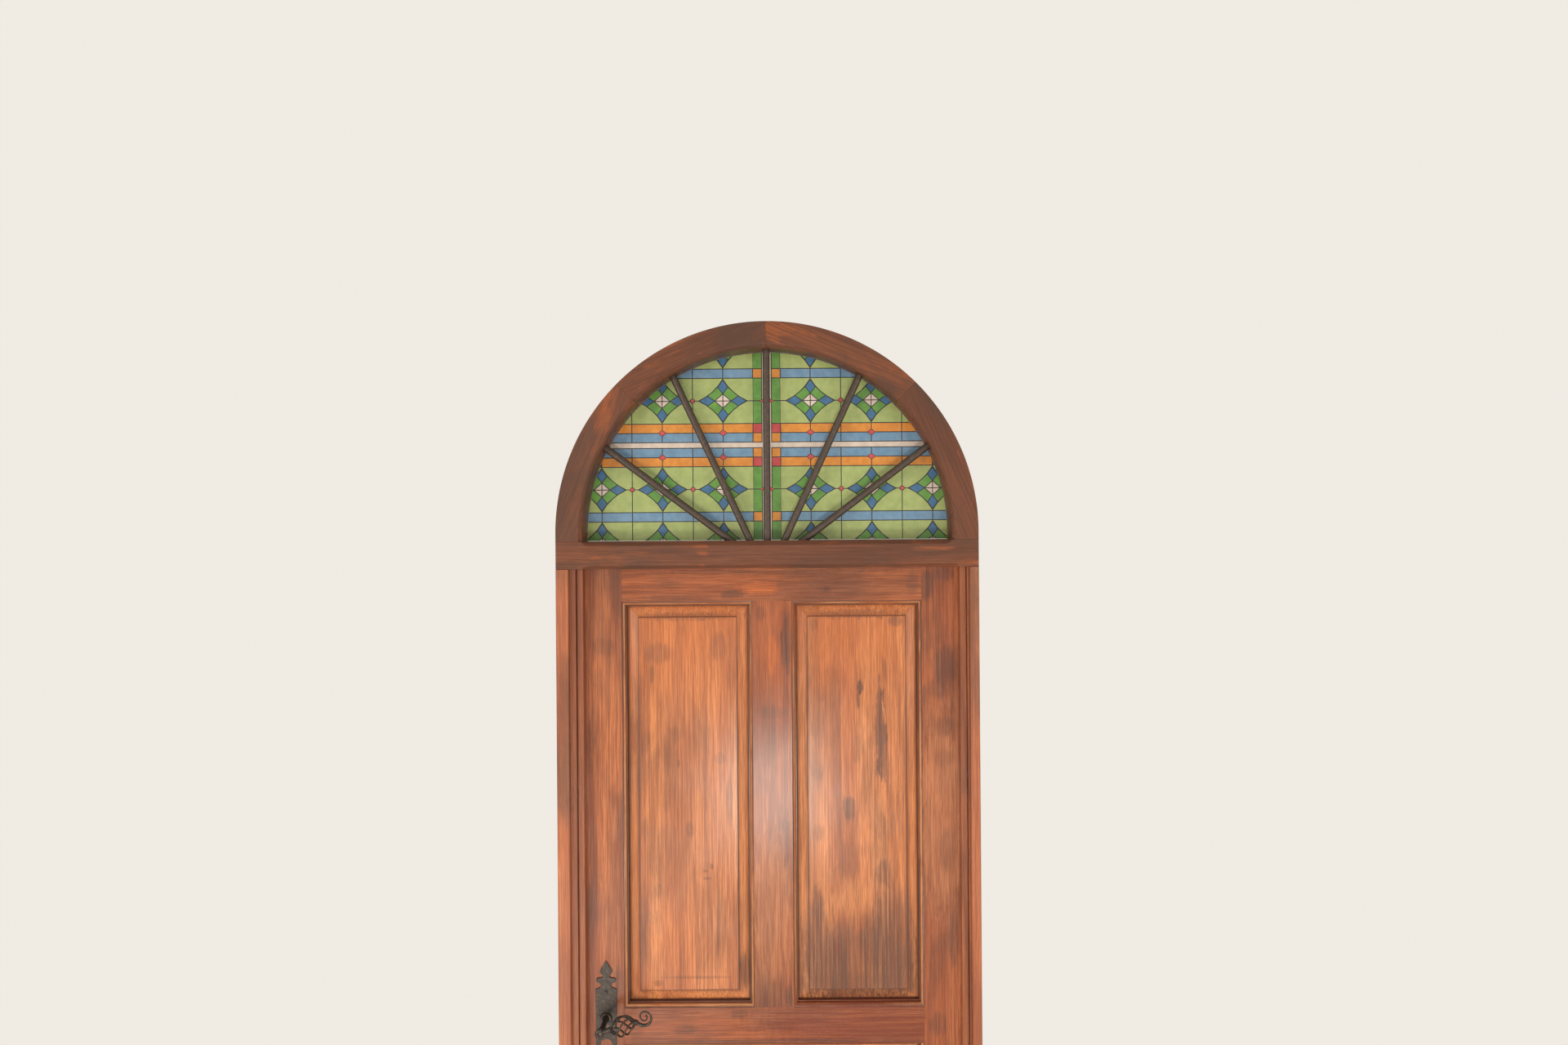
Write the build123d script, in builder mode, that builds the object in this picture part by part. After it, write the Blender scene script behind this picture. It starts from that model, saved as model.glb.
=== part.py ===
from build123d import *
import os
from math import cos, pi, radians, sin, sqrt

# Arched doorset: a panelled leaf under a fixed fanlight, in a timber frame.
# X runs along the wall, Y through it from the photographed face to the back, and Z up.
# The origin is on the floor under the middle of the arch, at the middle of the leaf's thickness.

os.makedirs("parts", exist_ok=True)

# Frame sizes, in millimetres
clear_width = 800.0
left_jamb_face = 54.0
right_jamb_face = 38.0
arch_face_width = 47.5
arch_chamfer = 7.0
arch_foot_height = 17.0
transom_underside = 2002.0
transom_height = 58.0
transom_top_chamfer = 9.0
transom_low_chamfer = 8.0
chamfer_run_out = 14.0
run_out_waist = 0.55
run_out_sag = 0.3
rebate_width = 14.5
head_rebate = 12.0
leaf_setback = 34.0
stop_gap = 0.4
glass_setback = 58.0
glass_rebate = 10.0
cover_strip_proud = 2.0
cover_strip_thickness = 12.0
left_cover_width = 26.5
right_cover_width = 20.0
quirk_setback = 8.0
stop_face_setback = 14.0
stop_face_width = 12.5
groove_width = 1.8
groove_depth = 5.0
arris_chamfer = 1.0
jamb_tenon_height = 30.0
jamb_tenon_thickness = 24.0
jamb_tenon_width = 20.0
jamb_tenon_inset = 14.0
tongue_thickness = 12.0
tongue_width = 30.0
tongue_depth = 22.0
joint_play = 0.15
tongue_end_play = 1.0
hole_sides = 16

# Leaf sizes
leaf_thickness = 42.0
leaf_gap = 2.5
head_gap = 3.0
floor_gap = 8.0
stile_face = 90.0
top_rail_face = 81.5
lock_rail_top = 1057.0
lock_rail_face = 77.0
bottom_rail_face = 172.0
muntin_face = 84.0
sticking_width = 9.5
sticking_depth = 8.5
sticking_quirk = 1.0
panel_groove_width = 10.4
panel_groove_depth = 9.0
panel_tongue = 10.0
panel_play = 1.5
panel_margin = 34.0
panel_field_sink = 6.0
panel_field_step = 2.5
muntin_tenon = 30.0
tenon_thickness = 14.0
tenon_length = 62.0
stub_tenon_length = 14.0
tenon_shoulder = 10.0
mortise_play = 1.5

# Fanlight sizes
glass_thickness = 4.0
glass_edge_play = 1.0
glass_seat_gap = 0.4
film_thickness = 0.2
film_edge_gap = 0.6
bead_depth = 11.0
bead_width = 9.0
bead_chamfer = 4.0
bar_diameter = 15.5
bar_setback = 33.0
bar_socket = 12.0
bar_hole_play = 0.15
inner_bar_foot = 37.0
inner_bar_lean = 24.8
outer_bar_foot = 78.0
outer_bar_lean = 53.2

# Film pattern, drawn for a window of one radius and scaled to the real one
film_drawn_radius = 391.5
film_middle_rise = 190.5
lead_width = 2.0
film_band = 20.2
cream_band = 12.5
cream_column = 21.0
green_column = 19.5
cell_width = 132.4
cell_height = 99.0
star_tip_rise = 46.0
star_tip_reach = 51.5
star_waist = 22.4
star_waist_rise = 19.9
kite_shoulder = 11.2
kite_shoulder_rise = 30.3
kite_side_reach = 33.7
kite_side_rise = 10.9
diamond_rise = 15.5
diamond_reach = 17.5
jewel_radius = 4.0
jewel_sides = 12
red_diamond_rise = 5.9
red_diamond_reach = 7.6
centre_jewel_rise = 6.6
centre_jewel_reach = 15.6
jewel_height = 0.3
smallest_field = 12.0

# Ironmongery sizes
backset = 51.0
handle_height = 1038.0
plate_width = 44.5
plate_above = 61.5
plate_below = 113.0
plate_thickness = 2.5
finial_height = 60.5
finial_root = 2.0
finial_neck = ((17.0, 1.4), (12.6, 4.2), (10.9, 8.0), (12.4, 11.6))
finial_lobe = ((16.2, 13.6), (19.8, 15.0), (21.4, 19.0), (19.8, 22.6), (16.0, 24.0), (10.8, 24.4))
finial_blade = ((7.0, 26.0), (7.0, 29.0), (10.2, 32.0), (12.6, 35.6), (12.9, 39.0), (11.2, 43.2))
finial_point = ((8.4, 47.0), (5.4, 52.0), (2.6, 56.8))
plate_window_width = 26.0
plate_window_top = 45.0
plate_window_height = 48.0
boss_radius = 13.0
boss_height = 5.0
boss_taper = 15.0
neck_radius = 7.5
neck_waist = 6.5
neck_inside = 4.0
running_gap = 0.05
lever_reach = 50.0
lever_rise = 16.0
lever_bar_radius = 5.5
lever_knob_radius = 9.0
lever_knob_depth = 8.0
lever_sides = 12
basket_start = 21.0
basket_length = 52.0
basket_radius = 18.8
basket_end_radius = 3.2
basket_rod = 4.4
basket_rods = 6
basket_twist = 150.0
basket_steps = 6
collar_radius = 6.5
collar_length = 5.0
tail_dip = 82.0
scroll_start = 90.7
scroll_base = 14.0
scroll_outer = 14.3
scroll_middle = 9.3
scroll_inner = 5.5
scroll_steps = 6
spindle_size = 8.0
spindle_grip = 26.0
plate_screw_radius = 4.0
plate_screw_shank = 1.8
plate_screw_length = 14.0
plate_screw_inset = 6.0
plate_screw_dome = 2.0
plate_screw_taper = 30.0
screw_sides = 8

lock_case_length = 150.0
lock_case_depth = 70.0
lock_case_thickness = 16.0
lock_case_above = 32.0
lock_case_wall = 1.5
case_play = 0.2
faceplate_length = 190.0
faceplate_width = 20.0
faceplate_thickness = 3.0
bolt_thickness = 12.4
bolt_gap = 0.3
latch_height = 18.0
latch_throw = 11.0
latch_head_length = 26.0
latch_tail_width = 5.0
latch_tail_depth = 5.0
follower_radius = 9.0
journal_radius = 7.0
cam_length = 18.0
cam_width = 5.0
cam_clearance = 0.6
cam_tip_clearance = 1.5
lug_overlap = 7.0
lug_width = 5.0
deadbolt_height = 28.0
deadbolt_length = 44.0
deadbolt_drop = 61.0
deadbolt_throw = 20.0
deadbolt_notch = 6.0
keyhole_drop = 72.0
keyhole_radius = 4.5
keyhole_slot_width = 4.5
keyhole_slot_length = 13.0
spindle_hole_radius = 11.0
strike_length = 170.0
strike_width = 24.0
strike_thickness = 2.0
strike_above = 45.0
pocket_play = 2.0
lock_screw_radius = 3.5
lock_screw_shank = 1.7
lock_screw_length = 15.0
lock_screw_inset = 8.0

hinge_low = 250.0
hinge_drop = 202.0
hinge_length = 100.0
hinge_flap = 2.0
flap_gap = 0.5
flap_width = 29.0
knuckle_radius = 6.0
knuckle_stand_off = 0.5
knuckle_gap = 0.4
knuckle_web = 1.0
knuckle_sides = 20
pin_radius = 3.0
pin_head_radius = 5.0
pin_head_height = 4.0
pin_head_sides = 12
hinge_screw_radius = 3.4
hinge_screw_shank = 1.7
hinge_screw_length = 17.0
hinge_screw_spread = 32.0
wall_hole_radius = 4.0
wall_hole_low = 500.0
wall_hole_drop = 502.0

# Planes through the thickness, from the front of the arch to the back of the leaf
leaf_front = -leaf_thickness / 2
leaf_back = leaf_thickness / 2
frame_front = leaf_front - leaf_setback
frame_back = leaf_back
stop_back = leaf_front - stop_gap
glass_front = frame_front + glass_setback
bar_depth = frame_front + bar_setback

# Heights and edges of the frame and of the leaf
transom_top = transom_underside + transom_height
arch_centre = transom_top + arch_foot_height
arch_radius = (clear_width + left_jamb_face + right_jamb_face) / 2
arch_inner = arch_radius - arch_face_width - arch_chamfer
clear_left = left_jamb_face - arch_radius
clear_right = arch_radius - right_jamb_face
leaf_left = clear_left - rebate_width + leaf_gap
leaf_right = clear_right + rebate_width - leaf_gap
leaf_bottom = floor_gap
leaf_top = transom_underside + head_rebate - head_gap
leaf_height = leaf_top - leaf_bottom
left_arris = leaf_left + stile_face
right_arris = leaf_right - stile_face
rail_length = right_arris - left_arris
top_rail_bottom = leaf_top - top_rail_face
lock_rail_bottom = lock_rail_top - lock_rail_face
bottom_rail_top = leaf_bottom + bottom_rail_face
muntin_left = (left_arris + right_arris - muntin_face) / 2
muntin_right = muntin_left + muntin_face
muntin_height = top_rail_bottom - lock_rail_top
handle_x = leaf_left + backset
panel_field_half = leaf_thickness / 2 - panel_field_sink
case_half = lock_case_thickness / 2
case_back = leaf_left + faceplate_thickness + lock_case_depth
case_front = leaf_left + faceplate_thickness
plate_front = leaf_front - plate_thickness
boss_front = plate_front - boss_height
lever_depth = plate_front - lever_reach
hinge_heights = (hinge_low, (hinge_low + transom_underside - hinge_drop) / 2, transom_underside - hinge_drop)
wall_hole_heights = (wall_hole_low, transom_underside - wall_hole_drop)


def arch_plane(angle):
    """Plane across the arch at an angle from the right springing: x is the radius, y the depth."""
    turn = radians(angle)
    return Plane(
        origin=(0, 0, arch_centre),
        x_dir=(cos(turn), 0, sin(turn)),
        z_dir=(-sin(turn), 0, cos(turn)),
    )


def facing_plane(x, z, depth=0.0):
    """Upright plane that faces the viewer, at a depth y: its x is X and its y is Z."""
    return Plane(origin=(x, depth, z), x_dir=(1, 0, 0), z_dir=(0, -1, 0))


def rail_plane(x, z):
    """Plane across a rail: its x is Z, from the rail's lower edge or arris."""
    return Plane(origin=(x, 0, z), x_dir=(0, 0, 1), z_dir=(1, 0, 0))


arch_axis = Axis((0, 0, arch_centre), (0, -1, 0))
bar_feet = (-outer_bar_foot, -inner_bar_foot, 0.0, inner_bar_foot, outer_bar_foot)
bar_leans = (-outer_bar_lean, -inner_bar_lean, 0.0, inner_bar_lean, outer_bar_lean)
bar_names = ("far_left", "left", "middle", "right", "far_right")


def bar_length(foot, lean):
    """Length of a fan bar from its foot on the transom to the end of its hole in the arch."""
    rise = cos(radians(lean))
    run = sin(radians(lean))
    along = foot * run - arch_foot_height * rise
    off = foot * foot + arch_foot_height**2 - (arch_inner + bar_socket) ** 2
    return -along + sqrt(along**2 - off)


def bar_plane(foot, lean, start=0.0):
    """Plane across a fan bar, a distance along it from its foot on the transom."""
    rise = cos(radians(lean))
    run = sin(radians(lean))
    return Plane(
        origin=(foot + start * run, bar_depth, transom_top + start * rise),
        x_dir=(0, 1, 0),
        z_dir=(run, 0, rise),
    )


# Fan bars
for name, foot, lean in zip(bar_names, bar_feet, bar_leans):
    with BuildPart() as fan_bar:
        with BuildSketch(bar_plane(foot, lean, -bar_socket)):
            Circle(bar_diameter / 2)
        extrude(amount=bar_socket + bar_length(foot, lean))
    fan_bar.part.label = f"fan_bar_{name}"
    export_step(fan_bar.part, f"parts/fan_bar_{name}.step")

# The holes of the fan bars, as one cutter
with BuildPart() as bar_holes:
    for foot, lean in zip(bar_feet, bar_leans):
        with BuildSketch(bar_plane(foot, lean, -bar_socket - joint_play)):
            RegularPolygon(bar_diameter / 2 + bar_hole_play, hole_sides, major_radius=False)
        extrude(amount=bar_socket + bar_length(foot, lean) + 2 * joint_play)


# Arch: four straight-grained segments, with a loose tongue in each joint
def arch_section(angle):
    """Section of the arch: a face, a chamfer, the soffit and a rebate for the glass behind."""
    with BuildSketch(arch_plane(angle)) as section:
        with BuildLine():
            Polyline(
                (arch_radius, frame_front),
                (arch_inner + arch_chamfer, frame_front),
                (arch_inner, frame_front + arch_chamfer),
                (arch_inner, glass_front),
                (arch_inner + glass_rebate, glass_front),
                (arch_inner + glass_rebate, frame_back),
                (arch_radius, frame_back),
                close=True,
            )
        make_face()
    return section.sketch


segment_turn = 45.0
tongue_radius = (arch_radius + arch_inner + glass_rebate) / 2
tongue_y = (frame_front + glass_front) / 2
tongue_angles = (0.0, segment_turn, 2 * segment_turn, 3 * segment_turn, 4 * segment_turn)


def tongue_place(angle):
    """Where a loose tongue lies across a joint: at the arch's foot, it is on the transom's top."""
    if angle == 0.0:
        return Location((tongue_radius, tongue_y, transom_top))
    if angle == 4 * segment_turn:
        return Location((-tongue_radius, tongue_y, transom_top))
    turn = radians(angle)
    x = tongue_radius * cos(turn)
    z = arch_centre + tongue_radius * sin(turn)
    return Location((x, tongue_y, z), (0, -angle, 0))


with BuildPart() as arch_tongues:
    with Locations(*[tongue_place(angle) for angle in tongue_angles]):
        Box(tongue_width, tongue_thickness, 2 * tongue_depth)
arch_tongues.part.label = "arch_tongues"
export_step(arch_tongues.part, "parts/arch_tongues.step")

with BuildPart() as tongue_slots:
    with Locations(*[tongue_place(angle) for angle in tongue_angles]):
        Box(
            tongue_width + 2 * joint_play,
            tongue_thickness + 2 * joint_play,
            2 * (tongue_depth + tongue_end_play),
        )

with BuildPart() as arch_lower_right:
    revolve(arch_section(0), axis=arch_axis, revolution_arc=segment_turn)
    extrude(arch_section(0), amount=-arch_foot_height)
    add(tongue_slots.part, mode=Mode.SUBTRACT)
    add(bar_holes.part, mode=Mode.SUBTRACT)
arch_lower_right.part.label = "arch_lower_right"
export_step(arch_lower_right.part, "parts/arch_lower_right.step")

with BuildPart() as arch_upper_right:
    revolve(arch_section(segment_turn), axis=arch_axis, revolution_arc=segment_turn)
    add(tongue_slots.part, mode=Mode.SUBTRACT)
    add(bar_holes.part, mode=Mode.SUBTRACT)
arch_upper_right.part.label = "arch_upper_right"
export_step(arch_upper_right.part, "parts/arch_upper_right.step")

with BuildPart() as arch_lower_left:
    mirror(arch_lower_right.part, about=Plane.YZ)
arch_lower_left.part.label = "arch_lower_left"
export_step(arch_lower_left.part, "parts/arch_lower_left.step")

with BuildPart() as arch_upper_left:
    mirror(arch_upper_right.part, about=Plane.YZ)
arch_upper_left.part.label = "arch_upper_left"
export_step(arch_upper_left.part, "parts/arch_upper_left.step")


# Transom bar
def run_out_cutter(x_from, x_to, depth, z_edge, top_edge):
    """A stopped chamfer on a front edge of the transom, with a curved run-out at each end."""
    rise = depth / sqrt(2)
    inward = -depth / 2 if top_edge else depth / 2
    slope = 1 if top_edge else -1
    half = (x_to - x_from) / 2
    middle = half + chamfer_run_out * run_out_waist
    end = half + chamfer_run_out
    across = Plane(
        origin=((x_from + x_to) / 2, frame_front + depth / 2, z_edge + inward),
        x_dir=(1, 0, 0),
        z_dir=(0, slope, 1),
    )
    with BuildPart() as cutter:
        with BuildSketch(across):
            with BuildLine():
                Line((-half, 0), (half, 0))
                ThreePointArc((half, 0), (middle, -rise * run_out_sag), (end, -rise))
                Polyline((end, -rise), (end, -2 * rise), (-end, -2 * rise), (-end, -rise))
                ThreePointArc((-end, -rise), (-middle, -rise * run_out_sag), (-half, 0))
            make_face()
        extrude(amount=2 * depth, both=True)
    return cutter.part


jamb_tenon_y = (frame_front + cover_strip_thickness + leaf_back) / 2
rebate_left = clear_left - rebate_width
rebate_right = clear_right + rebate_width
top_chamfer_end = arch_inner - chamfer_run_out
low_chamfer_left = clear_left + chamfer_run_out
low_chamfer_right = clear_right - chamfer_run_out

with BuildPart() as transom_bar:
    with BuildSketch(Plane(origin=(-arch_radius, 0, 0), x_dir=(0, 1, 0), z_dir=(1, 0, 0))):
        with BuildLine():
            Polyline(
                (frame_front, transom_underside),
                (frame_back, transom_underside),
                (frame_back, transom_top - glass_rebate),
                (glass_front, transom_top - glass_rebate),
                (glass_front, transom_top),
                (frame_front, transom_top),
                close=True,
            )
        make_face()
    extrude(amount=2 * arch_radius)
    with Locations(((rebate_left + rebate_right) / 2, stop_back, transom_underside)):
        Box(
            rebate_right - rebate_left,
            frame_back - stop_back,
            head_rebate,
            align=(Align.CENTER, Align.MIN, Align.MIN),
            mode=Mode.SUBTRACT,
        )
    add(
        run_out_cutter(-top_chamfer_end, top_chamfer_end, transom_top_chamfer, transom_top, True),
        mode=Mode.SUBTRACT,
    )
    add(
        run_out_cutter(low_chamfer_left, low_chamfer_right, transom_low_chamfer, transom_underside, False),
        mode=Mode.SUBTRACT,
    )
    with Locations(
        (-arch_radius + jamb_tenon_inset, jamb_tenon_y, transom_underside),
        (arch_radius - jamb_tenon_inset, jamb_tenon_y, transom_underside),
    ):
        Box(
            jamb_tenon_width + 2 * joint_play,
            jamb_tenon_thickness + 2 * joint_play,
            jamb_tenon_height + joint_play,
            align=(Align.CENTER, Align.CENTER, Align.MIN),
            mode=Mode.SUBTRACT,
        )
    add(tongue_slots.part, mode=Mode.SUBTRACT)
    add(bar_holes.part, mode=Mode.SUBTRACT)
transom_bar.part.label = "transom_bar"
export_step(transom_bar.part, "parts/transom_bar.step")


# Jambs and cover strips
def jamb_section(side, clear_edge, cover_width):
    """Plan of a jamb, drawn outwards from the clear opening: stop face, groove, quirk, cover bed."""
    outer = side * arch_radius
    cover = side * (arch_radius - cover_width)
    stop_outer = clear_edge + side * stop_face_width
    groove_outer = stop_outer + side * groove_width
    rebate_edge = clear_edge + side * rebate_width
    stop_face = frame_front + stop_face_setback
    quirk_face = frame_front + quirk_setback
    cover_bed = frame_front - cover_strip_proud + cover_strip_thickness
    with BuildSketch(Plane.XY) as section:
        with BuildLine():
            Polyline(
                (outer, frame_back),
                (outer, cover_bed),
                (cover, cover_bed),
                (cover, quirk_face),
                (groove_outer, quirk_face),
                (groove_outer, stop_face + groove_depth),
                (stop_outer, stop_face + groove_depth),
                (stop_outer, stop_face),
                (clear_edge + side * arris_chamfer, stop_face),
                (clear_edge, stop_face + arris_chamfer),
                (clear_edge, stop_back),
                (rebate_edge, stop_back),
                (rebate_edge, frame_back),
                close=True,
            )
        make_face()
    return section.sketch


def jamb_tenon(side):
    """Tenon on a jamb's top, let into the transom."""
    with Locations((side * (arch_radius - jamb_tenon_inset), jamb_tenon_y, transom_underside)):
        Box(
            jamb_tenon_width,
            jamb_tenon_thickness,
            jamb_tenon_height,
            align=(Align.CENTER, Align.CENTER, Align.MIN),
        )


def wall_holes(side):
    """Holes through a jamb for the screws that hold the frame in the wall."""
    with Locations(*[(side * arch_radius, 0, height) for height in wall_hole_heights]):
        Cylinder(wall_hole_radius, arch_radius, rotation=(0, 90, 0), mode=Mode.SUBTRACT)


def screw_cutter(plane, head, shank, length):
    """Countersunk screw as a solid with few facets, its head's face on the plane and its point behind it."""
    with BuildPart() as screw:
        with BuildSketch(plane):
            RegularPolygon(head, screw_sides)
        with BuildSketch(plane.offset(shank - head)):
            RegularPolygon(shank, screw_sides)
        loft()
        with BuildSketch(plane.offset(shank - head)):
            RegularPolygon(shank, screw_sides)
        extrude(amount=head - shank - length)
    return screw.part


# Strike plate, its screws, and the plates' common places
strike_low = handle_height + strike_above - strike_length
strike_middle = strike_low + strike_length / 2
strike_plane = Plane(origin=(rebate_left, 0, strike_middle), x_dir=(0, 1, 0), z_dir=(1, 0, 0))
latch_middle = handle_height
deadbolt_middle = handle_height - deadbolt_drop
latch_tip = leaf_left - latch_throw
deadbolt_reach = leaf_left - deadbolt_throw
strike_screw_rise = strike_length / 2 - lock_screw_inset
pocket_half = bolt_thickness / 2 + pocket_play


def bolt_pockets(reach_latch, reach_bolt):
    """Room for the thrown latch and dead bolt, from the leaf's edge into the jamb."""
    with Locations((leaf_left, 0, latch_middle)):
        Box(
            leaf_left - reach_latch,
            2 * pocket_half,
            latch_height + 2 * pocket_play,
            align=(Align.MAX, Align.CENTER, Align.CENTER),
            mode=Mode.SUBTRACT,
        )
    with Locations((leaf_left, 0, deadbolt_middle)):
        Box(
            leaf_left - reach_bolt,
            2 * pocket_half,
            deadbolt_height + 2 * pocket_play,
            align=(Align.MAX, Align.CENTER, Align.CENTER),
            mode=Mode.SUBTRACT,
        )


strike_screw_parts = []
for rise in (-strike_screw_rise, strike_screw_rise):
    place = strike_plane.offset(0)
    place.origin = (rebate_left, 0, strike_middle + rise)
    strike_screw_parts.append(
        screw_cutter(place, lock_screw_radius, lock_screw_shank, lock_screw_length)
    )
with BuildPart() as strike_screws:
    add(strike_screw_parts)
strike_screws.part.label = "strike_screws"
export_step(strike_screws.part, "parts/strike_screws.step")

with BuildPart() as strike_plate:
    with BuildSketch(strike_plane):
        Rectangle(strike_width, strike_length)
    extrude(amount=-strike_thickness)
    bolt_pockets(latch_tip - pocket_play, deadbolt_reach - pocket_play)
    add(strike_screws.part, mode=Mode.SUBTRACT)
strike_plate.part.label = "strike_plate"
export_step(strike_plate.part, "parts/strike_plate.step")

with BuildPart() as left_jamb:
    extrude(jamb_section(-1, clear_left, left_cover_width), amount=transom_underside)
    jamb_tenon(-1)
    wall_holes(-1)
    with BuildSketch(strike_plane):
        Rectangle(strike_width, strike_length)
    extrude(amount=-strike_thickness, mode=Mode.SUBTRACT)
    bolt_pockets(latch_tip - pocket_play, deadbolt_reach - pocket_play)
    add(strike_screws.part, mode=Mode.SUBTRACT)
left_jamb.part.label = "left_jamb"
export_step(left_jamb.part, "parts/left_jamb.step")


def cover_strip(side, width):
    """Flat strip on the front of a jamb, its two front edges eased."""
    with BuildPart() as strip:
        with Locations((side * (arch_radius - width / 2), frame_front - cover_strip_proud, 0)):
            Box(
                width,
                cover_strip_thickness,
                transom_underside,
                align=(Align.CENTER, Align.MIN, Align.MIN),
            )
        front_edges = strip.edges().filter_by(Axis.Z).group_by(Axis.Y)[0]
        chamfer(front_edges, length=1.5 * arris_chamfer)
    return strip.part


with BuildPart() as left_cover_strip:
    add(cover_strip(-1, left_cover_width))
left_cover_strip.part.label = "left_cover_strip"
export_step(left_cover_strip.part, "parts/left_cover_strip.step")

with BuildPart() as right_cover_strip:
    add(cover_strip(1, right_cover_width))
right_cover_strip.part.label = "right_cover_strip"
export_step(right_cover_strip.part, "parts/right_cover_strip.step")

# Hinges: a flap on the leaf and one on the jamb, three knuckles and a pin each
hinge_x = (leaf_right + rebate_right) / 2
hinge_y = leaf_back + knuckle_stand_off + knuckle_radius
knuckle_length = (hinge_length - 2 * knuckle_gap) / 3
flap_front = leaf_back - flap_width
web_start = leaf_back - knuckle_web


def hinge_knuckles(low, starts, side):
    """Knuckles of one hinge half, each joined to its flap by a short web."""
    with BuildPart() as knuckles:
        for start in starts:
            with BuildSketch(Plane.XY.offset(low + start)):
                with Locations((hinge_x, hinge_y)):
                    RegularPolygon(knuckle_radius, knuckle_sides)
            extrude(amount=knuckle_length)
            with Locations((hinge_x + side * flap_gap / 2, web_start, low + start)):
                Box(
                    hinge_flap,
                    hinge_y - web_start,
                    knuckle_length,
                    align=(Align.MIN if side > 0 else Align.MAX, Align.MIN, Align.MIN),
                )
    return knuckles.part


def hinge_half(middle, side):
    """Flap and knuckles of one hinge half: side 1 is on the jamb, side -1 on the leaf."""
    low = middle - hinge_length / 2
    pitch = knuckle_length + knuckle_gap
    starts = (0, 2 * pitch) if side > 0 else (pitch,)
    with BuildPart() as half:
        with Locations((hinge_x + side * flap_gap / 2, flap_front, low)):
            Box(
                hinge_flap,
                flap_width,
                hinge_length,
                align=(Align.MIN if side > 0 else Align.MAX, Align.MIN, Align.MIN),
            )
        add(hinge_knuckles(low, starts, side))
        with BuildSketch(Plane.XY.offset(low)):
            with Locations((hinge_x, hinge_y)):
                if side > 0:
                    RegularPolygon(pin_radius + running_gap, hole_sides, major_radius=False)
                else:
                    Circle(pin_radius + running_gap)
        extrude(amount=hinge_length, mode=Mode.SUBTRACT)
    return half.part


def hinge_screw_set(middle, side):
    """Three countersunk screws through a hinge flap."""
    face = hinge_x + side * flap_gap / 2
    screw_y = flap_front + flap_width / 2
    screws = []
    for rise in (-hinge_screw_spread, 0, hinge_screw_spread):
        place = Plane(origin=(face, screw_y, middle + rise), x_dir=(0, 1, 0), z_dir=(-side, 0, 0))
        screws.append(screw_cutter(place, hinge_screw_radius, hinge_screw_shank, hinge_screw_length))
    return screws


hinge_names = ("lower", "middle", "upper")
with BuildPart() as frame_hinge_screws:
    for middle in hinge_heights:
        add(hinge_screw_set(middle, 1))
frame_hinge_screws.part.label = "frame_hinge_screws"
export_step(frame_hinge_screws.part, "parts/frame_hinge_screws.step")

with BuildPart() as door_hinge_screws:
    for middle in hinge_heights:
        add(hinge_screw_set(middle, -1))
door_hinge_screws.part.label = "door_hinge_screws"
export_step(door_hinge_screws.part, "parts/door_hinge_screws.step")

for name, middle in zip(hinge_names, hinge_heights):
    with BuildPart() as frame_flap:
        add(hinge_half(middle, 1))
        add(frame_hinge_screws.part, mode=Mode.SUBTRACT)
    frame_flap.part.label = f"{name}_hinge_frame_leaf"
    export_step(frame_flap.part, f"parts/{name}_hinge_frame_leaf.step")
    with BuildPart() as door_flap:
        add(hinge_half(middle, -1))
        add(door_hinge_screws.part, mode=Mode.SUBTRACT)
    door_flap.part.label = f"{name}_hinge_door_leaf"
    export_step(door_flap.part, f"parts/{name}_hinge_door_leaf.step")

with BuildPart() as hinge_pins:
    for middle in hinge_heights:
        with Locations((hinge_x, hinge_y, middle)):
            Cylinder(pin_radius, hinge_length)
        for foot in (middle - hinge_length / 2 - pin_head_height, middle + hinge_length / 2):
            with BuildSketch(Plane.XY.offset(foot)):
                with Locations((hinge_x, hinge_y)):
                    RegularPolygon(pin_head_radius, pin_head_sides)
            extrude(amount=pin_head_height)
hinge_pins.part.label = "hinge_pins"
export_step(hinge_pins.part, "parts/hinge_pins.step")


def flap_recess(middle, side):
    """Cuts the bed of a hinge flap, from the gap beside the leaf into the wood."""
    with Locations((hinge_x + side * flap_gap / 2, flap_front, middle)):
        Box(
            hinge_flap,
            flap_width,
            hinge_length,
            align=(Align.MIN if side > 0 else Align.MAX, Align.MIN, Align.CENTER),
            mode=Mode.SUBTRACT,
        )


with BuildPart() as right_jamb:
    extrude(jamb_section(1, clear_right, right_cover_width), amount=transom_underside)
    jamb_tenon(1)
    wall_holes(1)
    for middle in hinge_heights:
        flap_recess(middle, 1)
    add(frame_hinge_screws.part, mode=Mode.SUBTRACT)
right_jamb.part.label = "right_jamb"
export_step(right_jamb.part, "parts/right_jamb.step")


# Fanlight glass and its beads
def fan_shape(radius, drop):
    """Half round above the arch's centre with a straight foot below it."""
    Circle(radius)
    Rectangle(2 * radius, radius, align=(Align.CENTER, Align.MAX), mode=Mode.SUBTRACT)
    Rectangle(2 * radius, drop, align=(Align.CENTER, Align.MAX))


film_front = glass_front + glass_seat_gap
glass_face = film_front + 2 * film_thickness
glass_radius = arch_inner + glass_rebate - glass_edge_play
glass_drop = arch_foot_height + glass_rebate - glass_edge_play
glass_back = glass_face + glass_thickness

with BuildPart() as fanlight_glass:
    with BuildSketch(facing_plane(0, arch_centre, glass_back)):
        fan_shape(glass_radius, glass_drop)
    extrude(amount=glass_thickness)
fanlight_glass.part.label = "fanlight_glass"
export_step(fanlight_glass.part, "parts/fanlight_glass.step")

bead_outer = arch_inner + glass_rebate
bead_floor = transom_top - glass_rebate
bead_front = glass_back + joint_play


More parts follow.
